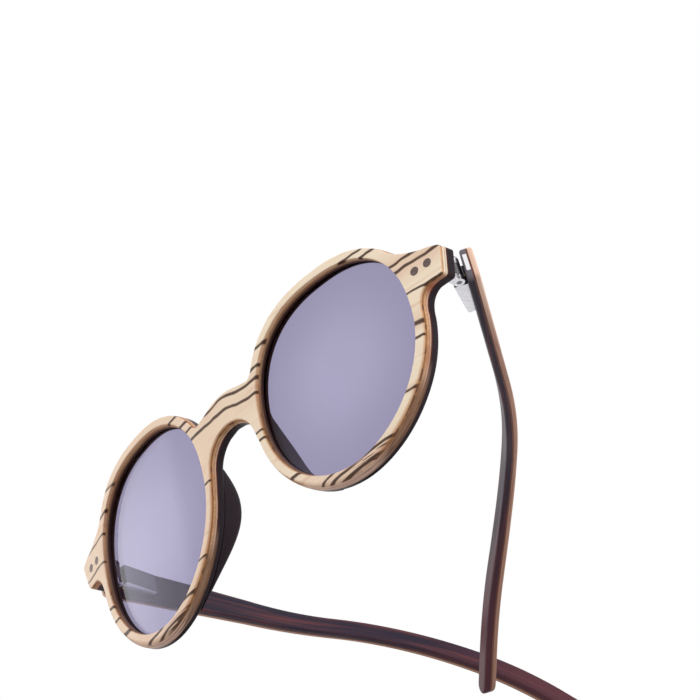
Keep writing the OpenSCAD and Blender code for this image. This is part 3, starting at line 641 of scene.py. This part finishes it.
def mirrored(points, faces):
    """The shape and its mirror image in the middle plane."""
    both = np.concatenate([points, points * [-1, 1, 1]])
    return both, np.concatenate([faces, faces[:, ::-1] + len(points)])


def settle(piece, body, finish, node):
    """Gives a piece its material and body, and lets it stand for its CAD node."""
    piece.data.materials.clear()
    piece.data.materials.append(finish_of(finish))
    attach(piece, body)
    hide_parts(node)


def cut(piece, cutters):
    """Takes the cutters out of a piece and removes them."""
    for cutter in cutters:
        tool = piece.modifiers.new("cut", "BOOLEAN")
        tool.object = cutter
        tool.solver = "EXACT"
        tool.use_hole_tolerant = True
    done = piece.evaluated_get(bpy.context.evaluated_depsgraph_get())
    result = bpy.data.meshes.new_from_object(done)
    piece.modifiers.clear()
    piece.data = result
    for cutter in cutters:
        bpy.data.objects.remove(cutter)
    piece.data.set_sharp_from_angle(angle=math.radians(SHARP))


def block(name, low, high, turn):
    """Box between two corners in millimetres, turned into place: a square carried from the lower to the upper
    end, with both ends closed at their middle."""
    low, high = np.array(low) * MM, np.array(high) * MM
    square, middle = np.array([[0, 0], [1, 0], [1, 1], [0, 1]]), np.full((4, 2), 0.5)
    levels = (middle, 0), (square, 0), (square, 1), (middle, 1)
    grid = np.stack([np.concatenate([flat, np.full((4, 1), h)], 1) for flat, h in levels])
    points, faces = quads([(low + grid * (high - low), True)])
    return solid(name, turned(points, turn), faces)


def turned(points, turn):
    """Points after a 4 by 4 turn and shift."""
    turn = np.array(turn)
    return points @ turn[:3, :3].T + turn[:3, 3]


def lens_x(f):
    """Distance of a lens centre from the middle plane."""
    return (f.lens_gap + f.lens_w) / 2


def rim_end(f):
    """Distance of the outer side of a rim from the middle plane."""
    return f.lens_gap / 2 + f.lens_w + f.rim_side


def ebony_depth(f):
    """Depth of the front of the ebony ply behind the face."""
    return f.face_t + f.amber_t + f.cream_t + f.red_t


def run_along(line):
    """Distance of each point of a line from its start, along the line."""
    return np.concatenate([[0], np.cumsum(np.linalg.norm(np.diff(line, axis=0), axis=1))])


def oval(f, phi, side, up, down):
    """Point of a grown opening in the direction phi from lens centre: the radius r has
    |r cos / a|^n + |r sin / b|^n = 1, with its own b and n above and below the middle."""
    c, s = np.cos(phi), np.sin(phi)
    n = np.where(s < 0, f.bottom_square, f.top_square)
    b = np.where(s < 0, f.lens_bottom + down, f.lens_top + up)
    r = (np.abs(c / (f.lens_w / 2 + side)) ** n + np.abs(s / b) ** n) ** (-1 / n)
    return np.stack([lens_x(f) + r * c, r * s], -1)


def rim(f, t):
    """Point of the rim's outer edge for the oval's own angle t in degrees: cos and sin, each raised to 2 / n with
    its sign kept, times the half axes, with its own height and n above and below the middle."""
    c, s = np.cos(np.radians(t)), np.sin(np.radians(t))
    n = np.where(s < 0, f.bottom_square, f.top_square)
    b = np.where(s < 0, f.lens_bottom + f.rim_bottom, f.lens_top + f.rim_top)
    x = lens_x(f) + (f.lens_w / 2 + f.rim_side) * np.sign(c) * np.abs(c) ** (2 / n)
    return np.stack([x, b * np.sign(s) * np.abs(s) ** (2 / n)], -1)


def bezier(a, c, b, n):
    """Curve of n steps from a to b that leaves and arrives along the lines to c."""
    u = np.linspace(0, 1, n + 1)[:, None]
    return (1 - u) ** 2 * np.array(a) + 2 * u * (1 - u) * np.array(c) + u ** 2 * np.array(b)


def meeting(p, u, q, v):
    """Point where the line from p along u meets the line from q along v."""
    return p + u * ((q[0] - p[0]) * v[1] - (q[1] - p[1]) * v[0]) / (u[0] * v[1] - u[1] * v[0])


def rounded(a, b, c, r):
    """Rounded corner of size r at b, between the lines from a and to c."""
    first, last = (b + r * (end - b) / np.linalg.norm(end - b) for end in (a, c))
    return bezier(first, b, last, 10)


def arc(r, top, degrees):
    """Arc around the middle plane with its top at the given height."""
    a = np.radians(degrees)
    return np.stack([r * np.sin(a), top - r + r * np.cos(a)], -1)


def half_outline(f):
    """Left half of the front's outline with its outward directions, from the nose arch along the rim and the end
    block to the bridge: arcs, the rim's oval, two blends and two rounded corners, filled in to even steps."""
    # Degrees: the angles of the rim where the end block and the bridge join it, and the half angle of the bridge
    top_t, nose_t, bridge_t = 38, 150, 27
    end_x = rim_end(f)
    low = np.array([end_x + f.end_len - f.end_lean, f.end_bottom])
    high = np.array([end_x + f.end_len, f.end_top])
    rise = np.array([end_x, f.end_top + f.end_rise])
    low_start = np.array([end_x + f.end_fillet, f.end_bottom])
    top, nose = rim(f, top_t), rim(f, nose_t)
    bridge_end = arc(f.bridge_r, f.bridge_top, bridge_t)
    slope = np.array([math.cos(math.radians(bridge_t)), -math.sin(math.radians(bridge_t))])
    line = np.concatenate([
        arc(f.arch_r, f.arch_top, np.linspace(0, 75, 26)),
        rim(f, np.linspace(192, 352, 161)),
        bezier(rim(f, 354), (end_x, f.end_bottom), low_start, 24),
        rounded(low_start, low, high, f.end_round),
        rounded(low, high, rise, f.end_round),
        bezier(high + (rise - high) * 0.8, meeting(top, rim(f, top_t - 1) - top, high, rise - high), top, 24),
        rim(f, np.linspace(top_t + 2, nose_t - 2, 109)),
        bezier(nose, meeting(nose, rim(f, nose_t + 1) - nose, bridge_end, slope), bridge_end, 20),
        arc(f.bridge_r, f.bridge_top, np.linspace(bridge_t - 1, 0, bridge_t)),
    ])
    run = run_along(line)
    even = np.linspace(0, run[-1], 400)
    even = even[np.abs(even[:, None] - run[None]).min(1) > 0.2 * MM]
    steps = np.sort(np.concatenate([run, even]))
    line = np.stack([np.interp(steps, run, line[:, i]) for i in (0, 1)], -1)
    line[[0, -1], 0] = 0
    way = np.gradient(line, axis=0)
    way /= np.linalg.norm(way, axis=1)[:, None]
    out = np.stack([way[:, 1], -way[:, 0]], -1)
    out[0], out[-1] = (0, -1), (0, 1)
    return line, out


def bent(f, flat, depth):
    """Places flat points of X and Z on the curved face: Y is the sagitta of the wrap circle at a given depth."""
    x, z = flat[..., 0], flat[..., 1]
    y = f.wrap_r - f.nose_depth - np.sqrt((f.wrap_r - depth) ** 2 - x ** 2)
    return np.stack([x, y, z], -1)


def quarter(r, steps=6):
    """Inset and depth along a rounded edge of radius r, from the flat to the wall."""
    a = np.linspace(math.pi / 2, 0, steps + 1)
    return np.stack([r * (1 - np.cos(a)), r * (1 - np.sin(a))], -1)


def eased(low, high, inset, reach, steps=8):
    """Inset and depth along a softly rounded edge, between two depths: a quarter ellipse that starts the full
    inset inside the edge at the face and meets the wall at the depth called reach."""
    rise = np.sin(np.linspace(*np.arcsin(1 - np.minimum(1, np.array([low, high]) / reach)), steps))
    return np.stack([inset * (1 - np.sqrt(1 - rise ** 2)), reach * (1 - rise)], -1)


def smooth(value, low, high):
    """Smooth step from 0 to 1 over a range."""
    u = np.clip((value - low) / (high - low), 0, 1)
    return u * u * (3 - 2 * u)


def ply(f, name, outer, inner):
    """One ply of the front. The outer and inner profiles give the inset from the outline and from the opening,
    with the depth, from front to back. Walls carry the profiles along the outline and the opening, and ruled
    flats join the first and the last rows. The rounding is fullest at the bottom of the rims and slight at the
    end faces, and in an opening it is fullest on the side of the nose."""
    line, out = half_outline(f)
    # Heights above the bottom and towards the top, and distances aside, over which the rounding lessens
    low, high, aside = (-24 * MM, -12 * MM), (4 * MM, 14 * MM), (62.5 * MM, 66 * MM)
    share = 1 - 0.5 * smooth(line[:, 1], *low) - 0.25 * smooth(line[:, 1], *high)
    share *= 1 - 0.85 * smooth(line[:, 0], *aside)
    walls = line[None] - out[None] * (outer[:, :1] * share)[..., None]
    down = np.linspace(0, 1, 14)[1:-1, None]
    loop = np.concatenate([line, line[-1] * (1 - down) + line[0] * down])
    run = run_along(loop)
    end_x = rim_end(f)
    lift = loop[:, 1] + 0.3 * np.maximum(0, loop[:, 0] - end_x)
    polar = np.unwrap(np.arctan2(lift, np.minimum(loop[:, 0], end_x) - lens_x(f)))
    even = polar[0] + 2 * math.pi * run / (run[-1] + np.linalg.norm(loop[0] - loop[-1]))
    # Each point of the outline faces a point of the opening, between its own direction and an even turn
    phi = 0.75 * polar + 0.25 * even
    opening = oval(f, phi, 0, 0, 0)
    nearby = oval(f, phi + 1e-4, 0, 0, 0) - oval(f, phi - 1e-4, 0, 0, 0)
    nearby /= np.linalg.norm(nearby, axis=1)[:, None]
    into = np.stack([nearby[:, 1], -nearby[:, 0]], -1)
    holes = opening[None] + into[None] * (inner[:, :1] * (0.65 - 0.35 * np.cos(phi)))[..., None]
    grids = [(bent(f, walls, outer[:, 1:]), False), (bent(f, holes, inner[:, 1:]), True)]
    for end in (0, -1):
        edge = walls[end]
        whole = np.concatenate([edge, edge[-1] * (1 - down) + edge[0] * down])
        across = np.linspace(0, 1, 6)[:, None, None]
        grids.append((bent(f, holes[end] * (1 - across) + whole * across, outer[end, 1]), True))
    return solid(name, *mirrored(*quads(grids)))


class GLASSES_OT_plies(bpy.types.Operator):
    """Builds the five plies of the front with rounded outer edges and rivet holes."""

    bl_idname = "glasses.plies"
    bl_label = "Front plies"

    def execute(self, context):
        f = context.scene.glasses_front
        front_t = ebony_depth(f) + f.ebony_t
        depth = 0
        for name, thick, slot, finish in (
                ("face", f.face_t, "zebrano", "zebrano"), ("amber", f.amber_t, "amber_wood", "cherry"),
                ("cream", f.cream_t, "cream_wood", "beech"), ("red", f.red_t, "red_wood", "rosewood"),
                ("ebony", f.ebony_t, "ebony", "ebony")):
            outer, inner = (eased(depth, depth + thick, inset, ebony_depth(f))
                            for inset in (f.edge_in, f.inner_in))
            if name == "ebony":
                back, lip = (np.array([size, -size]) * quarter(f.back_round)[::-1] + [0, front_t]
                             for size in (1, 0.5))
                seat = depth + f.lens_t
                outer = np.concatenate([[[0, depth]], back])
                inner = np.concatenate([[[f.groove, depth], [f.groove, seat], [0, seat]], lip])
            piece = ply(f, name + "_ply_wood", outer, inner)
            cut(piece, rivet_tools(context))
            if name == "ebony":
                cut(piece, leaf_tools(context))
            settle(piece, "front", finish, name + "_ply")
            depth += thick
        return {"FINISHED"}


def end_turn(context, side):
    """Turn and shift from the middle of the face to an end block, square to the face at its rivets."""
    f, a = context.scene.glasses_front, context.scene.glasses_arms
    lean = math.asin((rim_end(f) + RIVETS_OUT * MM) / f.wrap_r)
    axis = Matrix.Translation((0, f.wrap_r - f.nose_depth, a.hinge_z))
    place = axis @ Matrix.Rotation(lean, 4, "Z") @ Matrix.Translation((0, -f.wrap_r, 0))
    return Matrix.Diagonal((side, 1, 1, 1)) @ place


def rivet_tools(context):
    """Round cutters through the front at the four rivets: a circle carried along the rivet, with closed ends."""
    a = np.linspace(0, 2 * math.pi, 48, endpoint=False)
    r = RIVET_R * MM * np.array([0, 1, 1, 0])[:, None]
    depth = np.repeat(RIVET_ENDS, 2)[:, None] * MM + 0 * a
    made = []
    for side in (1, -1):
        for x in (-RIVETS_HALF * MM, RIVETS_HALF * MM):
            grid = np.stack([x + r * np.cos(a), depth, r * np.sin(a)], -1)
            points, faces = quads([(grid, True)])
            made.append(solid("rivet_tool", turned(points, end_turn(context, side)), faces))
    return made


def leaf_tools(context):
    """Box cutters for the seats of the two hinge leaves in the back of the front."""
    return [block("leaf_tool", *LEAF_SEAT, end_turn(context, side)) for side in (1, -1)]


class GLASSES_OT_lenses(bpy.types.Operator):
    """Builds the two lenses as thin curved shells: the oval shrinks to the middle on both faces, and its rim is
    softened."""

    bl_idname = "glasses.lenses"
    bl_label = "Lenses"

    def execute(self, context):
        f = context.scene.glasses_front
        phi = np.linspace(0, 2 * math.pi, 240, endpoint=False)
        edge = oval(f, phi, f.lens_seat, f.lens_seat, f.lens_seat)
        centre = np.array([lens_x(f), 0])
        share = np.concatenate([np.linspace(0, 1, 25)[:-1], [0.998, 1, 1, 0.998], np.linspace(1, 0, 25)[1:]])
        inset = 0.12 * MM
        back = np.concatenate([np.zeros(25), [inset, f.lens_t - inset], np.full(25, f.lens_t)])
        flat = centre + (edge - centre)[None] * share[:, None, None]
        points, faces = quads([(bent(f, flat, ebony_depth(f) + back[:, None]), True)])
        for side, name in ((1, "left_lens"), (-1, "right_lens")):
            piece = solid(name + "_shell", points * [side, 1, 1], faces)
            settle(piece, "front", "tinted_polycarbonate", name)
        return {"FINISHED"}


class GLASSES_OT_pads(bpy.types.Operator):
    """Builds the two nose pads: a ridge as wide as the rim whose height swells and fades along the rim."""

    bl_idname = "glasses.pads"
    bl_label = "Nose pads"

    def execute(self, context):
        f = context.scene.glasses_front
        foot = ebony_depth(f) + f.ebony_t - PAD_SUNK
        along = np.linspace(0, 1, 160)
        phi = np.radians(PAD_START + (PAD_END - PAD_START) * along)
        inside = oval(f, phi, 0, 0, 0)
        outside = oval(f, phi, f.rim_side, f.rim_top, f.rim_bottom)
        w = 0.5 - 0.5 * np.cos(np.linspace(0, math.pi, 29))
        share = (PAD_FREE + (1 - 2 * PAD_FREE) * w)[:, None, None]
        flat = inside[None] * (1 - share) + outside[None] * share
        t = np.clip((f.pad_top - flat[..., 1]) / f.pad_len, 0, 1)
        rise = PAD_FOOT + (f.pad_h - PAD_FOOT) * np.abs(np.sin(math.pi * t ** 0.75)) ** 1.5
        fade = np.clip(np.minimum(along, 1 - along) / PAD_FADE, 0, 1) ** 0.5
        crown = (1 - np.abs(2 * w - 1) ** 4) ** 0.25
        top = bent(f, flat, foot + rise * fade * crown[:, None])
        under = bent(f, flat, np.full(flat.shape[:2], foot))
        points, faces = quads([(top, False), (under, False)])
        for side, name in ((1, "left_nose_pad"), (-1, "right_nose_pad")):
            piece = solid(name + "_wood", points * [side, 1, 1], faces, sharp=60)
            settle(piece, "front", "ebony", name)
        return {"FINISHED"}


def softened(node, width, pin, inward, ahead):
    """Merged copy of a CAD node whose flat faces are joined and whose edges are rounded by a bevel. Faces that
    look inward or, behind the hinge pin, ahead along the arm are marked for painted shade."""
    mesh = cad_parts[node].data.copy()
    work = bmesh.new()
    work.from_mesh(mesh)
    bmesh.ops.remove_doubles(work, verts=work.verts, dist=0.001 * MM)
    bmesh.ops.dissolve_limit(work, angle_limit=math.radians(1), verts=work.verts, edges=work.edges)
    work.to_mesh(mesh)
    work.free()
    mesh.shade_smooth()
    mesh.set_sharp_from_angle(angle=math.radians(METAL_SHARP))
    made = bpy.data.objects.new(node + "_metal", mesh)
    bpy.context.scene.collection.objects.link(made)
    layer = mesh.attributes.new("painted_shade", "FLOAT", "FACE")
    looks, middle = np.empty((2, 3 * len(mesh.polygons)))
    mesh.polygons.foreach_get("normal", looks)
    mesh.polygons.foreach_get("center", middle)
    looks, middle = looks.reshape(-1, 3), middle.reshape(-1, 3)
    front = (looks @ ahead > FACING) & ((middle - pin) @ ahead < 0)
    layer.data.foreach_set("value", np.maximum(INNER_PAINTED_SHADE * (looks @ inward > FACING), front))
    edge = made.modifiers.new("rounded edges", "BEVEL")
    edge.width = width
    edge.segments = 2
    edge.limit_method = "ANGLE"
    edge.angle_limit = math.radians(METAL_BEVEL)
    edge.harden_normals = True
    return made


def hinge_turn(a, side, fold):
    """Turn and shift from the hinge pin to the row frame, on the left or mirrored on the right."""
    place = Matrix.Translation((a.hinge_x, a.hinge_y, a.hinge_z)) @ Matrix.Rotation(fold, 4, "Z")
    return Matrix.Diagonal((side, 1, 1, 1)) @ place


def coil_spring(a, name, turn, room):
    """Coil spring around the rod: the circle of the wire is carried along a helix, and a fan closes each end."""
    along = np.linspace(0, 1, int(24 * a.coils) + 1)[:, None]
    around = np.linspace(0, 2 * math.pi, 10, endpoint=False)[None]
    swing = 2 * math.pi * a.coils * along
    reach = a.coil_r + a.wire_r * np.cos(around)
    end = a.wire_r + room
    y = a.spring_start + end + (a.spring_len - 2 * end) * along + a.wire_r * np.sin(around)
    grid = np.stack([a.rod_off + reach * np.cos(swing), y, -reach * np.sin(swing)], -1)
    caps = np.repeat(grid[[0, -1]].mean(1, keepdims=True), grid.shape[1], 1)
    points, faces = quads([(np.concatenate([caps[:1], grid, caps[1:]]), True)])
    return solid(name, turned(points, turn), faces)


class GLASSES_OT_hinges(bpy.types.Operator):
    """Rounds the edges of the hinge pieces, winds the springs and gives all metal its finish."""

    bl_idname = "glasses.hinges"
    bl_label = "Hinges"

    def execute(self, context):
        a = context.scene.glasses_arms
        for side, way, fold in (("left", 1, a.left_fold), ("right", -1, a.right_fold)):
            inward = (-way * math.cos(fold), -math.sin(fold), 0)
            ahead = (way * math.sin(fold), -math.cos(fold), 0)
            pin = (way * a.hinge_x, a.hinge_y, a.hinge_z)
            for node, body, slot, finish, width in (
                    ("hinge_leaf", "front", "hinge_metal", "nickel_silver", 0.12),
                    ("leaf_rivets", "front", "rivet_metal", "ground_steel", 0.12),
                    ("hinge_screw", "front", "screw_metal", "bright_steel", 0.15),
                    ("spring_carrier", side + "_carrier", "hinge_metal", "spring_steel", 0.06),
                    ("hinge_housing", side + "_arm", "hinge_metal", "nickel_silver", 0.12)):
                name = side + "_" + node
                settle(softened(name, width * MM, pin, inward, ahead), body, finish, name)
            for node, finish in (("carrier_nut", "bright_steel"), ("spring_bush", "turned_brass")):
                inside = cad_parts[side + "_" + node]
                inside.data.materials.clear()
                inside.data.materials.append(finish_of(finish))
            turn, room = hinge_turn(a, way, fold), 0.02 * MM
            spring = coil_spring(a, side + "_spring_wire", turn, room)
            settle(spring, side + "_arm", "bright_steel", side + "_spring")
            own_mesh(spring)
        return {"FINISHED"}


def arm_place(a, s, k, off):
    """Point of an arm at the distance s along it, k above its middle line and off outside its inner face. From
    the side the middle line runs level, then round the ear bend and straight down. From above the inner face runs
    straight, then round the bow and straight on, and an outer layer keeps its distance."""
    fall = np.clip((s - a.drop_start) / a.drop_r, 0, a.drop)
    tail = np.maximum(0, s - a.drop_start - a.drop_r * a.drop)
    run = np.minimum(s, a.drop_start) + a.drop_r * np.sin(fall) + tail * math.cos(a.drop) + k * np.sin(fall)
    z = a.arm_bottom + a.arm_lift * np.minimum(1, s / a.arm_straight) + arm_half_height(a, s)
    z = z - a.drop_r * (1 - np.cos(fall)) - tail * math.sin(a.drop) + k * np.cos(fall)
    turn = np.clip((run - a.arm_straight) / a.bow_r, 0, a.bow)
    rest = np.maximum(0, run - a.arm_straight - a.bow_r * a.bow)
    y = np.minimum(run, a.arm_straight) + a.bow_r * np.sin(turn) + rest * math.cos(a.bow)
    outer_r = a.bow_r + off
    bow_end = a.arm_straight + outer_r * math.sin(a.bow)
    part = np.clip(y - a.arm_straight, 0, outer_r * math.sin(a.bow))
    x = np.sqrt(outer_r ** 2 - part ** 2) - a.bow_r - np.maximum(0, y - bow_end) * math.tan(a.bow)
    return np.stack([x + a.arm_off, y - a.arm_ahead, z - a.hinge_z], -1)


def arm_half_height(a, s):
    """Half the height of an arm at the distance s along it: a smooth step down to the ear bend."""
    return (a.arm_h - (a.arm_h - a.ear_h) * smooth(s, 0, a.drop_start)) / 2


def arm_face(a, inset, across=9):
    """Distances along and across one face of an arm, inset from its edge: rounded front corners, long edges and a
    round tip, with straight lines between the upper and the lower edge."""
    tip, r = a.ear_h / 2, a.corner_round
    corner, end = np.linspace(0, math.pi / 2, 9), np.linspace(0, math.pi / 2, 14)
    edge_s = np.concatenate([inset + (r - inset) * (1 - np.cos(corner)),
                             np.linspace(r, a.arm_len - tip, 180)[1:-1],
                             a.arm_len - tip + (tip - inset) * np.sin(end)])
    half = arm_half_height(a, edge_s) - inset
    half[:len(corner)] -= (r - inset) * (1 - np.sin(corner))
    half[-len(end):] = (tip - inset) * np.cos(end)
    half[-1] = 0
    v = np.linspace(1, -1, across)[None]
    return np.stack([np.repeat(edge_s[:, None], across, 1), half[:, None] * v], -1)


def ring(grid):
    """Closed edge of a face: up the front end, along the upper edge, and back along the lower edge."""
    return np.concatenate([grid[0, ::-1], grid[1:, 0], grid[-2:0:-1, -1]])


def arm_ply(a, name, off, thick, inner_round, outer_round, turn):
    """One ply of an arm: an inner and an outer face, joined by the rounded edges and the wall that carry the
    face's edge from one to the other."""
    low, high = (quarter(r, 5) if r else np.zeros((1, 2)) for r in (inner_round, outer_round))
    profile = np.concatenate([low, np.array([1, -1]) * high[::-1] + [0, thick]])
    faces_2d = [arm_face(a, inset) for inset in profile[:, 0]]
    rings = np.stack([ring(g) for g in faces_2d])
    offs = np.broadcast_to(off + profile[:, 1:], rings.shape[:2])
    grids, flows = [], []
    for flat, depth, wrapped in (
            (faces_2d[0], off, False), (faces_2d[-1], off + thick, False), (rings, offs, True)):
        depth = np.broadcast_to(depth, flat.shape[:2])
        grids.append((arm_place(a, flat[..., 0], flat[..., 1], depth), wrapped))
        flows.append(np.stack([flat[..., 0], flat[..., 1] + depth], -1).reshape(-1, 2))
    points, faces = quads(grids)
    return solid(name, turned(points, turn), faces, np.concatenate(flows))


class GLASSES_OT_arms(bpy.types.Operator):
    """Builds the three plies of each arm, with the slot for the tongue of the hinge."""

    bl_idname = "glasses.arms"
    bl_label = "Arms"

    def execute(self, context):
        a = context.scene.glasses_arms
        for side, name, fold in ((1, "left", a.left_fold), (-1, "right", a.right_fold)):
            turn = hinge_turn(a, side, fold)
            off = 0
            for part, thick, inner_round, outer_round, slot, finish in (
                    ("_arm_inner", a.inner_t, a.edge_round, 0, "ebony", "streaked_ebony"),
                    ("_arm_veneer", a.veneer_t, 0, 0, "red_wood", "rosewood_veneer"),
                    ("_arm_outer", a.outer_t, 0, a.edge_round, "arm_wood", "pearwood")):
                piece = arm_ply(a, name + part + "_wood", off, thick, inner_round, outer_round, turn)
                if part == "_arm_inner":
                    cut(piece, [block("tongue_tool", *corners, turn) for corners in TONGUE_SLOT])
                settle(piece, name + "_arm", finish, name + part)
                off += thick
        return {"FINISHED"}


# The camera: its place in metres, its right, up and back directions, its focal length and image width in pixels,
# and the width of its sensor in millimetres
CAMERA_PLACE = 0.291474, -0.286160, -0.260298
CAMERA_AXES = (0.62109, 0.75342, -0.21590), (0.56071, -0.23468, 0.79405), (0.54758, -0.61424, -0.56821)
FOCAL, IMAGE, SENSOR = 2133.13, 700, 36
# Lamps: place and size in metres, watts, and whether they light surfaces or show as a reflection
LAMPS = {
    "key": ((0.25, -0.7, 0.55), (0.7, 0.7), 4.1, "diffuse"),
    "side": ((0.8, 0.4, 0.0), (0.7, 0.7), 7, "diffuse"),
    "rear": ((0.1, 0.8, 0.6), (0.8, 0.8), 2, "diffuse"),
    "fill": ((-0.7, -0.5, 0.2), (0.8, 0.8), 1.1, "diffuse"),
    "softbox": ((-1.08, -0.31, 0.67), (0.72, 0.5), 2.7, "glossy"),
}
LAMPS_AIM = 0, 0.03, 0
# The floor in metres: half its width, and the distances between which it fades to white
FLOOR_HALF, FLOOR_FADE = 3.0, (0.2, 0.5)


def set_camera(scene):
    """Camera at the photo's viewing angle."""
    camera = bpy.data.objects.new("camera", bpy.data.cameras.new("camera"))
    scene.collection.objects.link(camera)
    camera.data.sensor_width = SENSOR
    camera.data.lens = FOCAL * SENSOR / IMAGE
    camera.data.clip_start, camera.data.clip_end = 0.01, 20
    camera.matrix_world = Matrix.Translation(CAMERA_PLACE) @ Matrix(CAMERA_AXES).transposed().to_4x4()
    scene.camera = camera


def set_world(scene):
    """Surroundings that are white to the camera, to mirrors and through lenses, and plain light to all else."""
    world = bpy.data.worlds.new("white surroundings")
    world.use_nodes = True
    scene.world = world
    tree = world.node_tree
    ground = tree.nodes["Background"]
    ground.inputs["Color"].default_value = (1, 1, 1, 1)
    rays = add(tree, "LightPath").node.outputs
    seen = rays["Is Camera Ray"]
    for more in ("Is Glossy Ray", "Is Transmission Ray"):
        seen = add(tree, "Math", seen, rays[more], **LARGER)
    tree.links.new(add(tree, "MapRange", seen, 0.0, 1.0, 0.55, 1.0), ground.inputs["Strength"])


def set_lamps(scene):
    """Soft area lamps. The one that shows as a reflection fades across its width."""
    for name, (place, size, power, shows) in LAMPS.items():
        lamp = bpy.data.objects.new(name, bpy.data.lights.new(name, "AREA"))
        scene.collection.objects.link(lamp)
        lamp.data.shape = "RECTANGLE"
        lamp.data.size, lamp.data.size_y = size
        lamp.data.energy = power
        lamp.visible_glossy = shows == "glossy"
        lamp.visible_diffuse = shows == "diffuse"
        lamp.location = place
        lamp.rotation_euler = (Vector(LAMPS_AIM) - Vector(place)).to_track_quat("-Z", "Y").to_euler()
        if shows == "glossy":
            lamp.data.use_nodes = True
            tree = lamp.data.node_tree
            across = add(tree, "SeparateXYZ", add(tree, "NewGeometry", out="Parametric"))
            fade = add(tree, "Math", add(tree, "MapRange", across, 1.0, 0.9, 0.0, 0.4, **SMOOTH),
                       add(tree, "MapRange", across, 0.9, 0.45, 0.0, 0.6, **SMOOTH), operation="ADD")
            tree.links.new(fade, tree.nodes["Emission"].inputs["Strength"])


def set_floor(scene):
    """Pale floor just below the part: it keeps the shadow, fades to white far off, is clear from below, and sends
    no light back to the part."""
    span = np.array([-FLOOR_HALF, FLOOR_HALF])
    x, y = np.meshgrid(span, span, indexing="ij")
    points, faces = quads([(np.stack([x, y, np.full((2, 2), CAD_BOX[0][2] - 0.1 * MM)], -1), False)])
    mesh = bpy.data.meshes.new("floor")
    mesh.from_pydata(points.tolist(), [], faces.tolist())
    floor = bpy.data.objects.new("floor", mesh)
    scene.collection.objects.link(floor)
    made, tree, shader, place = material("white_paper")
    shader.inputs["Base Color"].default_value = (0.9, 0.9, 0.9, 1)
    shader.inputs["Roughness"].default_value = 0.8
    far = add(tree, "MapRange", add(tree, "VectorMath", place, operation="LENGTH"), *FLOOR_FADE)
    white = add(tree, "MixShader", far, shader.outputs[0], add(tree, "Emission", (1, 1, 1), 1.0))
    hidden = add(tree, "Math", add(tree, "NewGeometry", out="Backfacing"),
                 add(tree, "LightPath", out="Is Diffuse Ray"), **LARGER)
    seen = add(tree, "MixShader", hidden, white, add(tree, "BsdfTransparent"))
    tree.links.new(seen, tree.nodes["Material Output"].inputs["Surface"])
    mesh.materials.append(made)


class GLASSES_OT_stage(bpy.types.Operator):
    """Sets up the camera, the soft lamps, the white surroundings and the pale floor."""

    bl_idname = "glasses.stage"
    bl_label = "Stage"

    def execute(self, context):
        scene = context.scene
        scene.view_settings.view_transform = "Standard"
        set_camera(scene)
        set_world(scene)
        set_lamps(scene)
        set_floor(scene)
        return {"FINISHED"}


class GLASSES_PT_panel(bpy.types.Panel):
    """Lists the sizes, the colours and the steps of the build."""

    bl_label = "Wooden sunglasses"
    bl_idname = "GLASSES_PT_panel"
    bl_space_type = "VIEW_3D"
    bl_region_type = "UI"
    bl_category = "Sunglasses"

    def draw(self, context):
        for group in (context.scene.glasses_front, context.scene.glasses_arms, context.scene.glasses_tones):
            box = self.layout.box()
            for name in group.__annotations__:
                box.prop(group, name)
        for each in STEPS:
            self.layout.operator(each.bl_idname)


STEPS = (GLASSES_OT_plies, GLASSES_OT_lenses, GLASSES_OT_pads, GLASSES_OT_hinges, GLASSES_OT_arms,
         GLASSES_OT_stage)
CLASSES = (FrontSizes, ArmSizes, Finishes) + STEPS + (GLASSES_PT_panel,)


def register():
    """Registers the classes and puts the sizes and colours on the scene."""
    for each in CLASSES:
        bpy.utils.register_class(each)
    bpy.types.Scene.glasses_front = bpy.props.PointerProperty(type=FrontSizes)
    bpy.types.Scene.glasses_arms = bpy.props.PointerProperty(type=ArmSizes)
    bpy.types.Scene.glasses_tones = bpy.props.PointerProperty(type=Finishes)


def unregister():
    """Takes the sizes, the colours and the classes away again."""
    del bpy.types.Scene.glasses_front, bpy.types.Scene.glasses_arms, bpy.types.Scene.glasses_tones
    for each in reversed(CLASSES):
        bpy.utils.unregister_class(each)


def main():
    register()
    bpy.ops.glasses.plies()
    bpy.ops.glasses.lenses()
    bpy.ops.glasses.pads()
    bpy.ops.glasses.hinges()
    bpy.ops.glasses.arms()
    bpy.ops.glasses.stage()
    bpy.context.view_layer.update()


if __name__ == "__main__":
    main()
